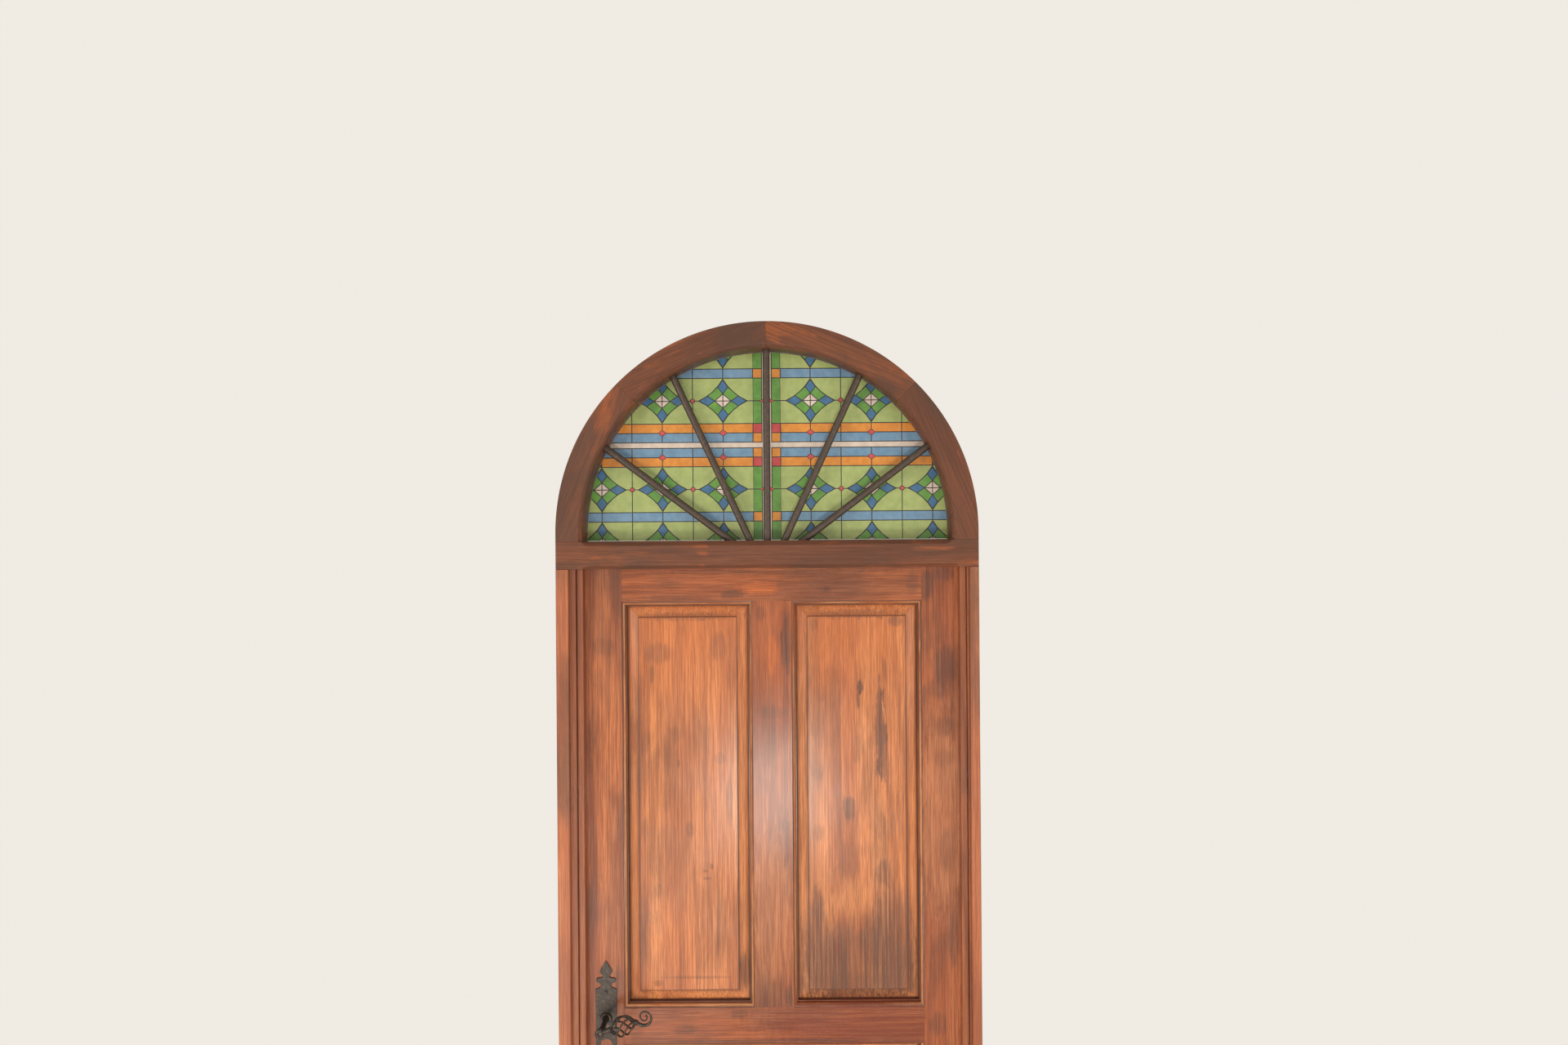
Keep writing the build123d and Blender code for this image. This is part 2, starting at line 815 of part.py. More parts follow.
def bead_section(angle):
    """Section of the curved bead: its inner back edge is chamfered."""
    with BuildSketch(arch_plane(angle)) as section:
        with BuildLine():
            Polyline(
                (bead_outer, bead_front),
                (bead_outer, bead_front + bead_depth),
                (bead_outer - bead_width + bead_chamfer, bead_front + bead_depth),
                (bead_outer - bead_width, bead_front + bead_depth - bead_chamfer),
                (bead_outer - bead_width, bead_front),
                close=True,
            )
        make_face()
    return section.sketch


with BuildPart() as arch_bead:
    revolve(bead_section(0), axis=arch_axis, revolution_arc=180)
    extrude(bead_section(0), amount=-(arch_foot_height + glass_rebate - bead_width))
    extrude(bead_section(180), amount=arch_foot_height + glass_rebate - bead_width)
arch_bead.part.label = "arch_bead"
export_step(arch_bead.part, "parts/arch_bead.step")

with BuildPart() as bottom_bead:
    with BuildSketch(Plane(origin=(-bead_outer, 0, bead_floor), x_dir=(0, 1, 0), z_dir=(1, 0, 0))):
        with BuildLine():
            Polyline(
                (bead_front, 0),
                (bead_front + bead_depth, 0),
                (bead_front + bead_depth, bead_width - bead_chamfer),
                (bead_front + bead_depth - bead_chamfer, bead_width),
                (bead_front, bead_width),
                close=True,
            )
        make_face()
    extrude(amount=2 * bead_outer)
bottom_bead.part.label = "bottom_bead"
export_step(bottom_bead.part, "parts/bottom_bead.step")

# Film: one dark sheet for the lines, with the fields of each colour laid on it
film_scale = arch_inner / film_drawn_radius
film_radius = (arch_inner - film_edge_gap) / film_scale
film_drop = (arch_foot_height - film_edge_gap) / film_scale
film_middle = film_middle_rise
lead = lead_width / 2
half_cell = cell_width / 2
half_row = cell_height / 2
cream_half = cream_band / 2
blue_band_edge = cream_half + film_band
orange_band_edge = blue_band_edge + film_band
outer_band_edge = orange_band_edge + cell_height
column_edge = cream_column / 2 + green_column
star_columns = [column_edge + half_cell - lead + step * cell_width for step in range(3)]
star_rise = orange_band_edge + half_row
outer_star_rise = outer_band_edge + film_band + half_row
row_rises = (-outer_star_rise, -star_rise, star_rise, outer_star_rise)
star_places = [
    (side * x, film_middle + rise) for rise in row_rises for x in star_columns for side in (-1, 1)
]
outer_column = star_columns[-1] + half_cell


def inset(points, distance):
    """Moves each side of a convex outline, given anticlockwise, inwards by a distance."""
    moved = []
    count = len(points)
    for index in range(count):
        before = points[index - 1]
        here = points[index]
        after = points[(index + 1) % count]
        first = Vector(here[0] - before[0], here[1] - before[1]).normalized()
        second = Vector(after[0] - here[0], after[1] - here[1]).normalized()
        turn = first.X * second.Y - first.Y * second.X
        scale = distance / turn
        moved.append(
            (here[0] + scale * (second.X - first.X), here[1] + scale * (second.Y - first.Y))
        )
    return moved


def four_ways(points):
    """The same outline in the four quarters of a star, each given anticlockwise."""
    flipped_x = [(-x, y) for x, y in reversed(points)]
    flipped_y = [(x, -y) for x, y in reversed(points)]
    turned = [(-x, -y) for x, y in points]
    return (points, flipped_x, flipped_y, turned)


def clip_to_window():
    """Keeps only what shows inside the arch's soffit and above the transom."""
    with BuildSketch(mode=Mode.PRIVATE) as window:
        fan_shape(film_radius, film_drop)
    add(window.sketch, mode=Mode.INTERSECT)


def grown(face):
    """A field of the drawn pattern, scaled about the arch's centre to the real window."""
    shift = face.location.position * (film_scale - 1)
    return face.scale(film_scale).moved(Location(shift))


def field_part(sketch, height, depth):
    """The fields of one colour, scaled to the window, as thin solids in front of a depth."""
    kept = [face for face in sketch.faces() if face.area > smallest_field]
    with BuildPart() as fields:
        with BuildSketch(facing_plane(0, arch_centre, depth)):
            add([grown(face) for face in kept])
        extrude(amount=height)
    return fields.part


def box_field(x_from, x_to, z_from, z_to):
    """A rectangle of film between four lines, inset by half a line's width."""
    with Locations(((x_from + x_to) / 2, (z_from + z_to) / 2)):
        Rectangle(abs(x_to - x_from) - lead_width, abs(z_to - z_from) - lead_width)


with BuildPart() as film_lines:
    with BuildSketch(facing_plane(0, arch_centre, glass_face)):
        fan_shape(film_radius * film_scale, film_drop * film_scale)
    extrude(amount=film_thickness)
film_lines.part.label = "film_lines"
export_step(film_lines.part, "parts/film_lines.step")
field_depth = glass_face - film_thickness

# Pale corners of the cells, round the stars
def hollow_curve(start, middle, end):
    """Five points along a hollow arc through three points, for a curve with few facets."""
    x = (middle[0] - (start[0] + end[0]) / 2) / 4
    y = (middle[1] - (start[1] + end[1]) / 2) / 4
    first = ((start[0] + middle[0]) / 2 + x, (start[1] + middle[1]) / 2 + y)
    second = ((middle[0] + end[0]) / 2 + x, (middle[1] + end[1]) / 2 + y)
    return [start, first, middle, second, end]


hollow = hollow_curve(
    (star_tip_reach + 2 * lead, lead),
    (star_waist + lead / sqrt(2), star_waist_rise + lead / sqrt(2)),
    (lead, star_tip_rise + 2 * lead),
)
with BuildSketch() as pale_corners:
    with BuildLine():
        Polyline(
            *hollow,
            (lead, half_row - lead),
            (half_cell - lead, half_row - lead),
            (half_cell - lead, lead),
            close=True,
        )
    make_face()
    mirror(about=Plane.YZ)
    mirror(about=Plane.XZ)

with BuildSketch() as pale_fields:
    with Locations(*star_places):
        add(pale_corners.sketch)
    clip_to_window()
with BuildPart() as film_pale_green:
    add(field_part(pale_fields.sketch, film_thickness, field_depth))
film_pale_green.part.label = "film_pale_green"
export_step(film_pale_green.part, "parts/film_pale_green.step")

# Green quarters of the stars and the deep green columns
green_quarter = inset(
    [
        (0, diamond_rise),
        (diamond_reach, 0),
        (kite_side_reach, kite_side_rise),
        (star_waist, star_waist_rise),
        (kite_shoulder, kite_shoulder_rise),
    ],
    lead,
)
with BuildSketch() as green_fields:
    with Locations(*star_places):
        for outline in four_ways(green_quarter):
            Polygon(*outline, align=None)
    for rise in row_rises:
        for side in (-1, 1):
            for low in (-half_row, 0):
                box_field(
                    side * cream_column / 2,
                    side * column_edge,
                    film_middle + rise + low,
                    film_middle + rise + low + half_row,
                )
    clip_to_window()
with BuildPart() as film_green:
    add(field_part(green_fields.sketch, film_thickness, field_depth))
film_green.part.label = "film_green"
export_step(film_green.part, "parts/film_green.step")

# Blue kites at the four points of each star
top_kite = inset(
    [
        (0, diamond_rise),
        (kite_shoulder, kite_shoulder_rise),
        (0, star_tip_rise),
        (-kite_shoulder, kite_shoulder_rise),
    ],
    lead,
)
side_kite = inset(
    [
        (diamond_reach, 0),
        (kite_side_reach, -kite_side_rise),
        (star_tip_reach, 0),
        (kite_side_reach, kite_side_rise),
    ],
    lead,
)
with BuildSketch() as blue_fields:
    with Locations(*star_places):
        Polygon(*top_kite, align=None)
        Polygon(*[(-x, -y) for x, y in top_kite], align=None)
        Polygon(*side_kite, align=None)
        Polygon(*[(-x, -y) for x, y in side_kite], align=None)
    clip_to_window()
with BuildPart() as film_blue:
    add(field_part(blue_fields.sketch, film_thickness, field_depth))
film_blue.part.label = "film_blue"
export_step(film_blue.part, "parts/film_blue.step")

# Cream quarters in the middle of each star, and the cream cross between the columns
cream_quarter = inset([(0, 0), (diamond_reach, 0), (0, diamond_rise)], lead)
with BuildSketch() as cream_fields:
    with Locations(*star_places):
        for outline in four_ways(cream_quarter):
            Polygon(*outline, align=None)
    with Locations((0, film_middle)):
        Rectangle(2 * outer_column, cream_band - lead_width)
        Rectangle(cream_column - lead_width, 2 * (outer_star_rise + half_row))
    clip_to_window()
with BuildPart() as film_cream:
    add(field_part(cream_fields.sketch, film_thickness, field_depth))
film_cream.part.label = "film_cream"
export_step(film_cream.part, "parts/film_cream.step")

# Bands: light blue, orange, and where the columns cross them, orange and red
column_lines = [column_edge] + [x + step for x in star_columns for step in (0, half_cell)]
blue_bands = (
    (cream_half, blue_band_edge),
    (outer_band_edge, outer_band_edge + film_band),
)


def band_fields(low, high):
    """The stretches of one band between the upright lines, on both sides of the middle."""
    for side in (-1, 1):
        for start, end in zip(column_lines, column_lines[1:]):
            box_field(side * start, side * end, film_middle + low, film_middle + high)


def crossing_fields(low, high):
    """Where the two green columns cross a band."""
    for side in (-1, 1):
        box_field(side * cream_column / 2, side * column_edge, film_middle + low, film_middle + high)


with BuildSketch() as light_blue_fields:
    for low, high in blue_bands:
        band_fields(low, high)
        band_fields(-high, -low)
    clip_to_window()
with BuildPart() as film_light_blue:
    add(field_part(light_blue_fields.sketch, film_thickness, field_depth))
film_light_blue.part.label = "film_light_blue"
export_step(film_light_blue.part, "parts/film_light_blue.step")

with BuildSketch() as orange_fields:
    band_fields(blue_band_edge, orange_band_edge)
    band_fields(-orange_band_edge, -blue_band_edge)
    for low, high in blue_bands:
        crossing_fields(low, high)
        crossing_fields(-high, -low)
    clip_to_window()
with BuildPart() as film_orange:
    add(field_part(orange_fields.sketch, film_thickness, field_depth))
film_orange.part.label = "film_orange"
export_step(film_orange.part, "parts/film_orange.step")


def diamond(reach, rise):
    """The corners of a diamond, anticlockwise."""
    return ((reach, 0), (0, rise), (-reach, 0), (0, -rise))


jewel_places = [
    (side * (x + half_cell), film_middle + rise)
    for rise in row_rises
    for x in star_columns[:-1]
    for side in (-1, 1)
]
red_diamond_places = [
    (side * x, film_middle + rise)
    for rise in (-blue_band_edge, blue_band_edge)
    for x in star_columns
    for side in (-1, 1)
]
with BuildSketch() as jewel_fields:
    with Locations(*jewel_places):
        RegularPolygon(jewel_radius, jewel_sides)
    with Locations(*red_diamond_places):
        Polygon(*diamond(red_diamond_reach, red_diamond_rise), align=None)
    with Locations(*[(0, film_middle + rise) for rise in row_rises]):
        Polygon(*diamond(centre_jewel_reach, centre_jewel_rise), align=None)
    clip_to_window()
with BuildSketch() as red_fields:
    crossing_fields(blue_band_edge, orange_band_edge)
    crossing_fields(-orange_band_edge, -blue_band_edge)
with BuildPart() as film_red:
    add(field_part(red_fields.sketch, film_thickness, field_depth))
    add(field_part(jewel_fields.sketch, jewel_height, field_depth - film_thickness))
film_red.part.label = "film_red"
export_step(film_red.part, "parts/film_red.step")


# Leaf: members stuck with an ovolo on both faces, coped and tenoned round raised panels
def block(x_from, x_to, z_from, z_to, thickness, mode=Mode.ADD):
    """A box between two X and two Z values, with its middle in the middle of the leaf."""
    with Locations(((x_from + x_to) / 2, 0, (z_from + z_to) / 2)):
        Box(x_to - x_from, thickness, z_to - z_from, mode=mode)


def member_section(face, near_stuck, far_stuck):
    """Section of a member: x runs across its face from the near arris, y through its thickness."""
    near = sticking_width if near_stuck else 0
    far = sticking_width if far_stuck else 0
    with Locations(((face + far - near) / 2, 0)):
        Rectangle(face + near + far, leaf_thickness)
    for stuck, arris, out in ((near_stuck, 0, -1), (far_stuck, face, 1)):
        if stuck:
            for side in (-1, 1):
                rebate_y = side * (leaf_thickness - sticking_depth) / 2
                with Locations((arris + out * sticking_width / 2, rebate_y)):
                    Rectangle(sticking_width, sticking_depth, mode=Mode.SUBTRACT)
                with Locations((arris, side * (leaf_thickness / 2 - sticking_depth))):
                    Circle(sticking_depth - sticking_quirk)
            with Locations((arris + out * (sticking_width - panel_groove_depth / 2), 0)):
                Rectangle(panel_groove_depth, panel_groove_width, mode=Mode.SUBTRACT)


def mortise(x_from, x_to, low, high):
    """Mortise for a tenon between two heights of a rail, with its play."""
    block(
        x_from,
        x_to,
        low + tenon_shoulder - joint_play,
        high - tenon_shoulder + joint_play,
        tenon_thickness + 2 * joint_play,
        mode=Mode.SUBTRACT,
    )


def keyhole_cutter():
    """Keyhole through the thickness: a round with a slot below it."""
    with BuildPart() as cutter:
        with BuildSketch(facing_plane(handle_x, handle_height - keyhole_drop)):
            RegularPolygon(keyhole_radius, hole_sides)
            Rectangle(keyhole_slot_width, keyhole_slot_length, align=(Align.CENTER, Align.MAX))
        extrude(amount=leaf_thickness, both=True)
    return cutter.part


def spindle_hole_cutter():
    """Hole through the thickness for the spindle, with room round it."""
    with BuildPart() as cutter:
        with BuildSketch(facing_plane(handle_x, handle_height)):
            RegularPolygon(spindle_hole_radius, hole_sides)
        extrude(amount=leaf_thickness, both=True)
    return cutter.part


rail_heights = (
    (top_rail_bottom, leaf_top),
    (lock_rail_bottom, lock_rail_top),
    (leaf_bottom, bottom_rail_top),
)
left_tenons = (tenon_length, stub_tenon_length, tenon_length)
case_high = handle_height + lock_case_above
case_low = case_high - lock_case_length
faceplate_low = (case_high + case_low - faceplate_length) / 2
faceplate_high = faceplate_low + faceplate_length
faceplate_screw_heights = (faceplate_low + lock_screw_inset, faceplate_high - lock_screw_inset)

faceplate_screw_parts = [
    screw_cutter(
        Plane(origin=(leaf_left, 0, height), x_dir=(0, 1, 0), z_dir=(-1, 0, 0)),
        lock_screw_radius,
        lock_screw_shank,
        lock_screw_length,
    )
    for height in faceplate_screw_heights
]
with BuildPart() as faceplate_screws:
    add(faceplate_screw_parts)
faceplate_screws.part.label = "faceplate_screws"
export_step(faceplate_screws.part, "parts/faceplate_screws.step")

plate_screw_heights = (
    handle_height + plate_above - plate_screw_inset,
    handle_height - plate_below + plate_screw_inset,
)


with BuildPart() as front_screws:
    for height in plate_screw_heights:
        with BuildSketch(facing_plane(handle_x, height, plate_front)):
            RegularPolygon(plate_screw_shank, screw_sides)
        extrude(amount=-plate_screw_length)
        with BuildSketch(facing_plane(handle_x, height, plate_front)):
            RegularPolygon(plate_screw_radius, screw_sides)
        extrude(amount=plate_screw_dome, taper=plate_screw_taper)

with BuildPart() as plate_screws:
    add(front_screws.part)
    mirror(about=Plane.XZ)
plate_screws.part.label = "plate_screws"
export_step(plate_screws.part, "parts/plate_screws.step")

with BuildPart() as lock_stile:
    with BuildSketch(Plane(origin=(leaf_left, 0, leaf_bottom))):
        member_section(stile_face, False, True)
    extrude(amount=leaf_height)
    for (low, high), length in zip(rail_heights, left_tenons):
        mortise(left_arris - length - mortise_play, left_arris + sticking_width, low, high)
    block(
        leaf_left,
        leaf_left + faceplate_thickness,
        faceplate_low,
        faceplate_high,
        faceplate_width,
        mode=Mode.SUBTRACT,
    )
    block(
        case_front,
        case_back + case_play,
        case_low - case_play,
        case_high + case_play,
        lock_case_thickness + 2 * case_play,
        mode=Mode.SUBTRACT,
    )
    add(spindle_hole_cutter(), mode=Mode.SUBTRACT)
    add(keyhole_cutter(), mode=Mode.SUBTRACT)
    add(faceplate_screws.part, mode=Mode.SUBTRACT)
    add(plate_screws.part, mode=Mode.SUBTRACT)
lock_stile.part.label = "lock_stile"
export_step(lock_stile.part, "parts/lock_stile.step")

with BuildPart() as hinge_stile:
    with BuildSketch(Plane(origin=(leaf_right, 0, leaf_bottom), x_dir=(-1, 0, 0), z_dir=(0, 0, 1))):
        member_section(stile_face, False, True)
    extrude(amount=leaf_height)
    for low, high in rail_heights:
        mortise(right_arris - sticking_width, right_arris + tenon_length + mortise_play, low, high)
    for middle in hinge_heights:
        flap_recess(middle, -1)
    add(door_hinge_screws.part, mode=Mode.SUBTRACT)
hinge_stile.part.label = "hinge_stile"
export_step(hinge_stile.part, "parts/hinge_stile.step")


def rail_tenons(low, high, left_length):
    """Tenons at both ends of a rail."""
    low_shoulder = low + tenon_shoulder
    high_shoulder = high - tenon_shoulder
    block(left_arris - left_length, left_arris, low_shoulder, high_shoulder, tenon_thickness)
    block(right_arris, right_arris + tenon_length, low_shoulder, high_shoulder, tenon_thickness)


with BuildPart() as top_rail:
    with BuildSketch(rail_plane(left_arris, top_rail_bottom)):
        member_section(top_rail_face, True, False)
    extrude(amount=rail_length)
    add(lock_stile.part, mode=Mode.SUBTRACT)
    add(hinge_stile.part, mode=Mode.SUBTRACT)
    rail_tenons(top_rail_bottom, leaf_top, tenon_length)
    block(
        muntin_left + tenon_shoulder - joint_play,
        muntin_right - tenon_shoulder + joint_play,
        top_rail_bottom - sticking_width,
        top_rail_bottom + muntin_tenon + mortise_play,
        tenon_thickness + 2 * joint_play,
        mode=Mode.SUBTRACT,
    )
top_rail.part.label = "top_rail"
export_step(top_rail.part, "parts/top_rail.step")

with BuildPart() as lock_rail:
    with BuildSketch(rail_plane(left_arris, lock_rail_bottom)):
        member_section(lock_rail_face, True, True)
    extrude(amount=rail_length)
    add(lock_stile.part, mode=Mode.SUBTRACT)
    add(hinge_stile.part, mode=Mode.SUBTRACT)
    rail_tenons(lock_rail_bottom, lock_rail_top, stub_tenon_length)
    block(
        muntin_left + tenon_shoulder - joint_play,
        muntin_right - tenon_shoulder + joint_play,
        lock_rail_top - muntin_tenon - mortise_play,
        lock_rail_top + sticking_width,
        tenon_thickness + 2 * joint_play,
        mode=Mode.SUBTRACT,
    )
lock_rail.part.label = "lock_rail"
export_step(lock_rail.part, "parts/lock_rail.step")

with BuildPart() as bottom_rail:
    with BuildSketch(rail_plane(left_arris, leaf_bottom)):
        member_section(bottom_rail_face, False, True)
    extrude(amount=rail_length)
    add(lock_stile.part, mode=Mode.SUBTRACT)
    add(hinge_stile.part, mode=Mode.SUBTRACT)
    rail_tenons(leaf_bottom, bottom_rail_top, tenon_length)
bottom_rail.part.label = "bottom_rail"
export_step(bottom_rail.part, "parts/bottom_rail.step")

with BuildPart() as muntin:
    with BuildSketch(Plane(origin=(muntin_left, 0, lock_rail_top))):
        member_section(muntin_face, True, True)
    extrude(amount=muntin_height)
    add(top_rail.part, mode=Mode.SUBTRACT)
    add(lock_rail.part, mode=Mode.SUBTRACT)
    block(
        muntin_left + tenon_shoulder,
        muntin_right - tenon_shoulder,
        lock_rail_top - muntin_tenon,
        lock_rail_top,
        tenon_thickness,
    )
    block(
        muntin_left + tenon_shoulder,
        muntin_right - tenon_shoulder,
        top_rail_bottom,
        top_rail_bottom + muntin_tenon,
        tenon_thickness,
    )
muntin.part.label = "muntin"
export_step(muntin.part, "parts/muntin.step")


def raised_panel(x_from, x_to, z_from, z_to):
    """Panel raised on both faces between four arrises: tongue, bevels, and a stepped field."""
    width = x_to - x_from
    height = z_to - z_from
    in_groove = 2 * (panel_groove_depth - panel_play - sticking_width)
    sight = 2 * sticking_width
    field = 2 * panel_margin
    face = facing_plane((x_from + x_to) / 2, (z_from + z_to) / 2)
    with BuildPart() as panel:
        with BuildSketch(face):
            Rectangle(width + in_groove, height + in_groove)
        extrude(amount=panel_tongue / 2, both=True)
        with BuildSketch(face.offset(panel_tongue / 2)):
            Rectangle(width - sight, height - sight)
        with BuildSketch(face.offset(panel_field_half - panel_field_step)):
            Rectangle(width - field, height - field)
        loft()
        with BuildSketch(face.offset(panel_field_half - panel_field_step)):
            Rectangle(width - field, height - field)
        extrude(amount=panel_field_step)
        mirror(about=Plane.XZ)
    return panel.part


with BuildPart() as upper_left_panel:
    add(raised_panel(left_arris, muntin_left, lock_rail_top, top_rail_bottom))
upper_left_panel.part.label = "upper_left_panel"
export_step(upper_left_panel.part, "parts/upper_left_panel.step")

with BuildPart() as upper_right_panel:
    add(raised_panel(muntin_right, right_arris, lock_rail_top, top_rail_bottom))
upper_right_panel.part.label = "upper_right_panel"
export_step(upper_right_panel.part, "parts/upper_right_panel.step")

with BuildPart() as lower_panel:
    add(raised_panel(left_arris, right_arris, bottom_rail_top, lock_rail_bottom))
lower_panel.part.label = "lower_panel"
export_step(lower_panel.part, "parts/lower_panel.step")

# Mortise lock: case, face plate, follower, latch and dead bolt
cavity_half = case_half - lock_case_wall
with BuildPart() as lock_case:
    block(case_front, case_back, case_low, case_high, lock_case_thickness)
    block(
        case_front,
        case_back - lock_case_wall,
        case_low + lock_case_wall,
        case_high - lock_case_wall,
        2 * cavity_half,
        mode=Mode.SUBTRACT,
    )
    with Locations((handle_x, 0, handle_height)):
        Cylinder(journal_radius + running_gap, leaf_thickness, rotation=(90, 0, 0), mode=Mode.SUBTRACT)
    add(keyhole_cutter(), mode=Mode.SUBTRACT)
lock_case.part.label = "lock_case"
export_step(lock_case.part, "parts/lock_case.step")

with BuildPart() as lock_faceplate:
    block(leaf_left, case_front, faceplate_low, faceplate_high, faceplate_width)
    for middle, height in ((latch_middle, latch_height), (deadbolt_middle, deadbolt_height)):
        block(
            leaf_left,
            case_front,
            middle - height / 2 - bolt_gap,
            middle + height / 2 + bolt_gap,
            bolt_thickness + 2 * bolt_gap,
            mode=Mode.SUBTRACT,
        )
    add(faceplate_screws.part, mode=Mode.SUBTRACT)
lock_faceplate.part.label = "lock_faceplate"
export_step(lock_faceplate.part, "parts/lock_faceplate.step")

with BuildPart() as lock_follower:
    with Locations((handle_x, 0, handle_height)):
        Cylinder(journal_radius, lock_case_thickness, rotation=(90, 0, 0))
    with BuildSketch(facing_plane(handle_x, handle_height)):
        RegularPolygon(follower_radius, hole_sides)
    extrude(amount=bolt_thickness / 2, both=True)
    block(
        handle_x - cam_width / 2,
        handle_x + cam_width / 2,
        handle_height,
        handle_height + cam_length,
        latch_tail_depth,
    )
    with Locations((handle_x, 0, handle_height)):
        Box(
            spindle_size + 2 * running_gap,
            lock_case_thickness,
            spindle_size + 2 * running_gap,
            mode=Mode.SUBTRACT,
        )
lock_follower.part.label = "lock_follower"
export_step(lock_follower.part, "parts/lock_follower.step")

latch_head_back = latch_tip + latch_head_length
tail_low = handle_height + cam_length + cam_tip_clearance
tail_high = tail_low + latch_tail_width
lug_left = handle_x + cam_width / 2 + cam_clearance
with BuildPart() as latch_bolt:
    block(
        latch_tip,
        latch_head_back,
        latch_middle - latch_height / 2,
        latch_middle + latch_height / 2,
        bolt_thickness,
    )
    with BuildSketch(Plane.XY.offset(latch_middle - latch_height / 2)):
        with BuildLine():
            Polyline(
                (latch_tip, bolt_thickness / 2 - arris_chamfer),
                (latch_tip, -bolt_thickness / 2),
                (latch_tip + latch_throw, -bolt_thickness / 2),
                close=True,
            )
        make_face()
    extrude(amount=latch_height, mode=Mode.SUBTRACT)
    block(
        latch_head_back - latch_tail_width,
        latch_head_back,
        latch_middle,
        tail_high,
        latch_tail_depth,
    )
    block(latch_head_back - latch_tail_width, lug_left + lug_width, tail_low, tail_high, latch_tail_depth)
    block(
        lug_left,
        lug_left + lug_width,
        handle_height + cam_length - lug_overlap,
        tail_high,
        latch_tail_depth,
    )
latch_bolt.part.label = "latch_bolt"
export_step(latch_bolt.part, "parts/latch_bolt.step")

with BuildPart() as deadbolt:
    block(
        leaf_left,
        leaf_left + deadbolt_length,
        deadbolt_middle - deadbolt_height / 2,
        deadbolt_middle + deadbolt_height / 2,
        bolt_thickness,
    )
    notch_x = leaf_left + deadbolt_length - 2 * deadbolt_notch
    with Locations((notch_x, 0, deadbolt_middle - deadbolt_height / 2)):
        Box(
            2 * deadbolt_notch,
            bolt_thickness,
            2 * deadbolt_notch,
            mode=Mode.SUBTRACT,
        )
deadbolt.part.label = "deadbolt"
export_step(deadbolt.part, "parts/deadbolt.step")


# Handle plates: a spear-headed plate with a pierced window over the keyhole
def finial_outline():
    """Spear head above a plate's straight end: a hollow neck, two lobes, a waist and an ogee blade."""
    half = plate_width / 2
    with BuildSketch() as finial:
        with BuildLine():
            Polyline(
                (0, -finial_root),
                (half, -finial_root),
                (half, 0),
                *finial_neck,
                *finial_lobe,
                *finial_blade,
                *finial_point,
                (0, finial_height),
                close=True,
            )
        make_face()
        mirror(about=Plane.YZ)
    return finial.sketch


window_middle = handle_height - plate_window_top - plate_window_height / 2
plate_middle = handle_height + (plate_above - plate_below) / 2
plate_face = facing_plane(handle_x, plate_middle, leaf_front)
plate_height = plate_above + plate_below

with BuildPart() as front_plate:
    with BuildSketch(plate_face):
        Rectangle(plate_width, plate_height)
        for end, turn in ((1, 0), (-1, 180)):
            with Locations((0, end * plate_height / 2)):
                add(finial_outline(), rotation=turn)
        with Locations((0, window_middle - plate_middle)):
            Rectangle(plate_window_width, plate_window_height - plate_window_width, mode=Mode.SUBTRACT)
        for end in (1, -1):
            rise = end * (plate_window_height - plate_window_width) / 2
            with Locations((0, window_middle - plate_middle + rise)):
                RegularPolygon(plate_window_width / 2, hole_sides, mode=Mode.SUBTRACT)
    extrude(amount=plate_thickness)
    with BuildSketch(facing_plane(handle_x, handle_height, plate_front)):
        RegularPolygon(boss_radius, hole_sides)
    extrude(amount=boss_height, taper=boss_taper)
    with Locations((handle_x, 0, handle_height)):
        Cylinder(neck_radius + running_gap, 4 * leaf_thickness, rotation=(90, 0, 0), mode=Mode.SUBTRACT)
    add(plate_screws.part, mode=Mode.SUBTRACT)
front_plate.part.label = "front_plate"
export_step(front_plate.part, "parts/front_plate.step")

with BuildPart() as rear_plate:
    mirror(front_plate.part, about=Plane.XZ)
rear_plate.part.label = "rear_plate"
export_step(rear_plate.part, "parts/rear_plate.step")

# Spindle and levers: a forged neck, a basket of twisted rods and an end scroll
spindle_end = -plate_front + spindle_grip
with BuildPart() as spindle:
    with Locations((handle_x, 0, handle_height)):
        Box(spindle_size, 2 * spindle_end, spindle_size)
spindle.part.label = "spindle"
export_step(spindle.part, "parts/spindle.step")


lever_root = Vector(handle_x, lever_depth, handle_height)
lever_slope = Vector(cos(radians(lever_rise)), 0, sin(radians(lever_rise)))
lever_cross = Vector(-sin(radians(lever_rise)), 0, cos(radians(lever_rise)))


def lever_place(along):
    """A point on the middle line of the lever, a distance from the spindle's line."""
    return lever_root + lever_slope * along


def basket_point(turn, step):
    """A point on the middle line of one rod of the basket, a number of steps along it."""
    share = step / basket_steps
    radius = basket_end_radius + (basket_radius - basket_end_radius) * sin(pi * share)
    swing = radians(turn + basket_twist * share)
    outward = Vector(0, cos(swing), 0) + lever_cross * sin(swing)
    return lever_place(basket_start + basket_length * share) + outward * radius


def bar_along(points, width):
    """A square bar along straight runs between points."""
    with BuildPart() as bar:
        with BuildLine() as line:
            Polyline(*points)
        with BuildSketch(Plane(origin=points[0], x_dir=(0, 1, 0), z_dir=points[1] - points[0])):
            Rectangle(width, width)
        sweep(path=line.line, transition=Transition.RIGHT)
    return bar.part


def scroll_turn(foot, radius, start):
    """Points on half a turn of the scroll, from its foot or its top."""
    points = []
    for step in range(1, scroll_steps + 1):
        angle = radians(start + 180 * step / scroll_steps)
        points.append(foot + Vector(radius * cos(angle), 0, radius * (sin(angle) - sin(radians(start)))))
    return points


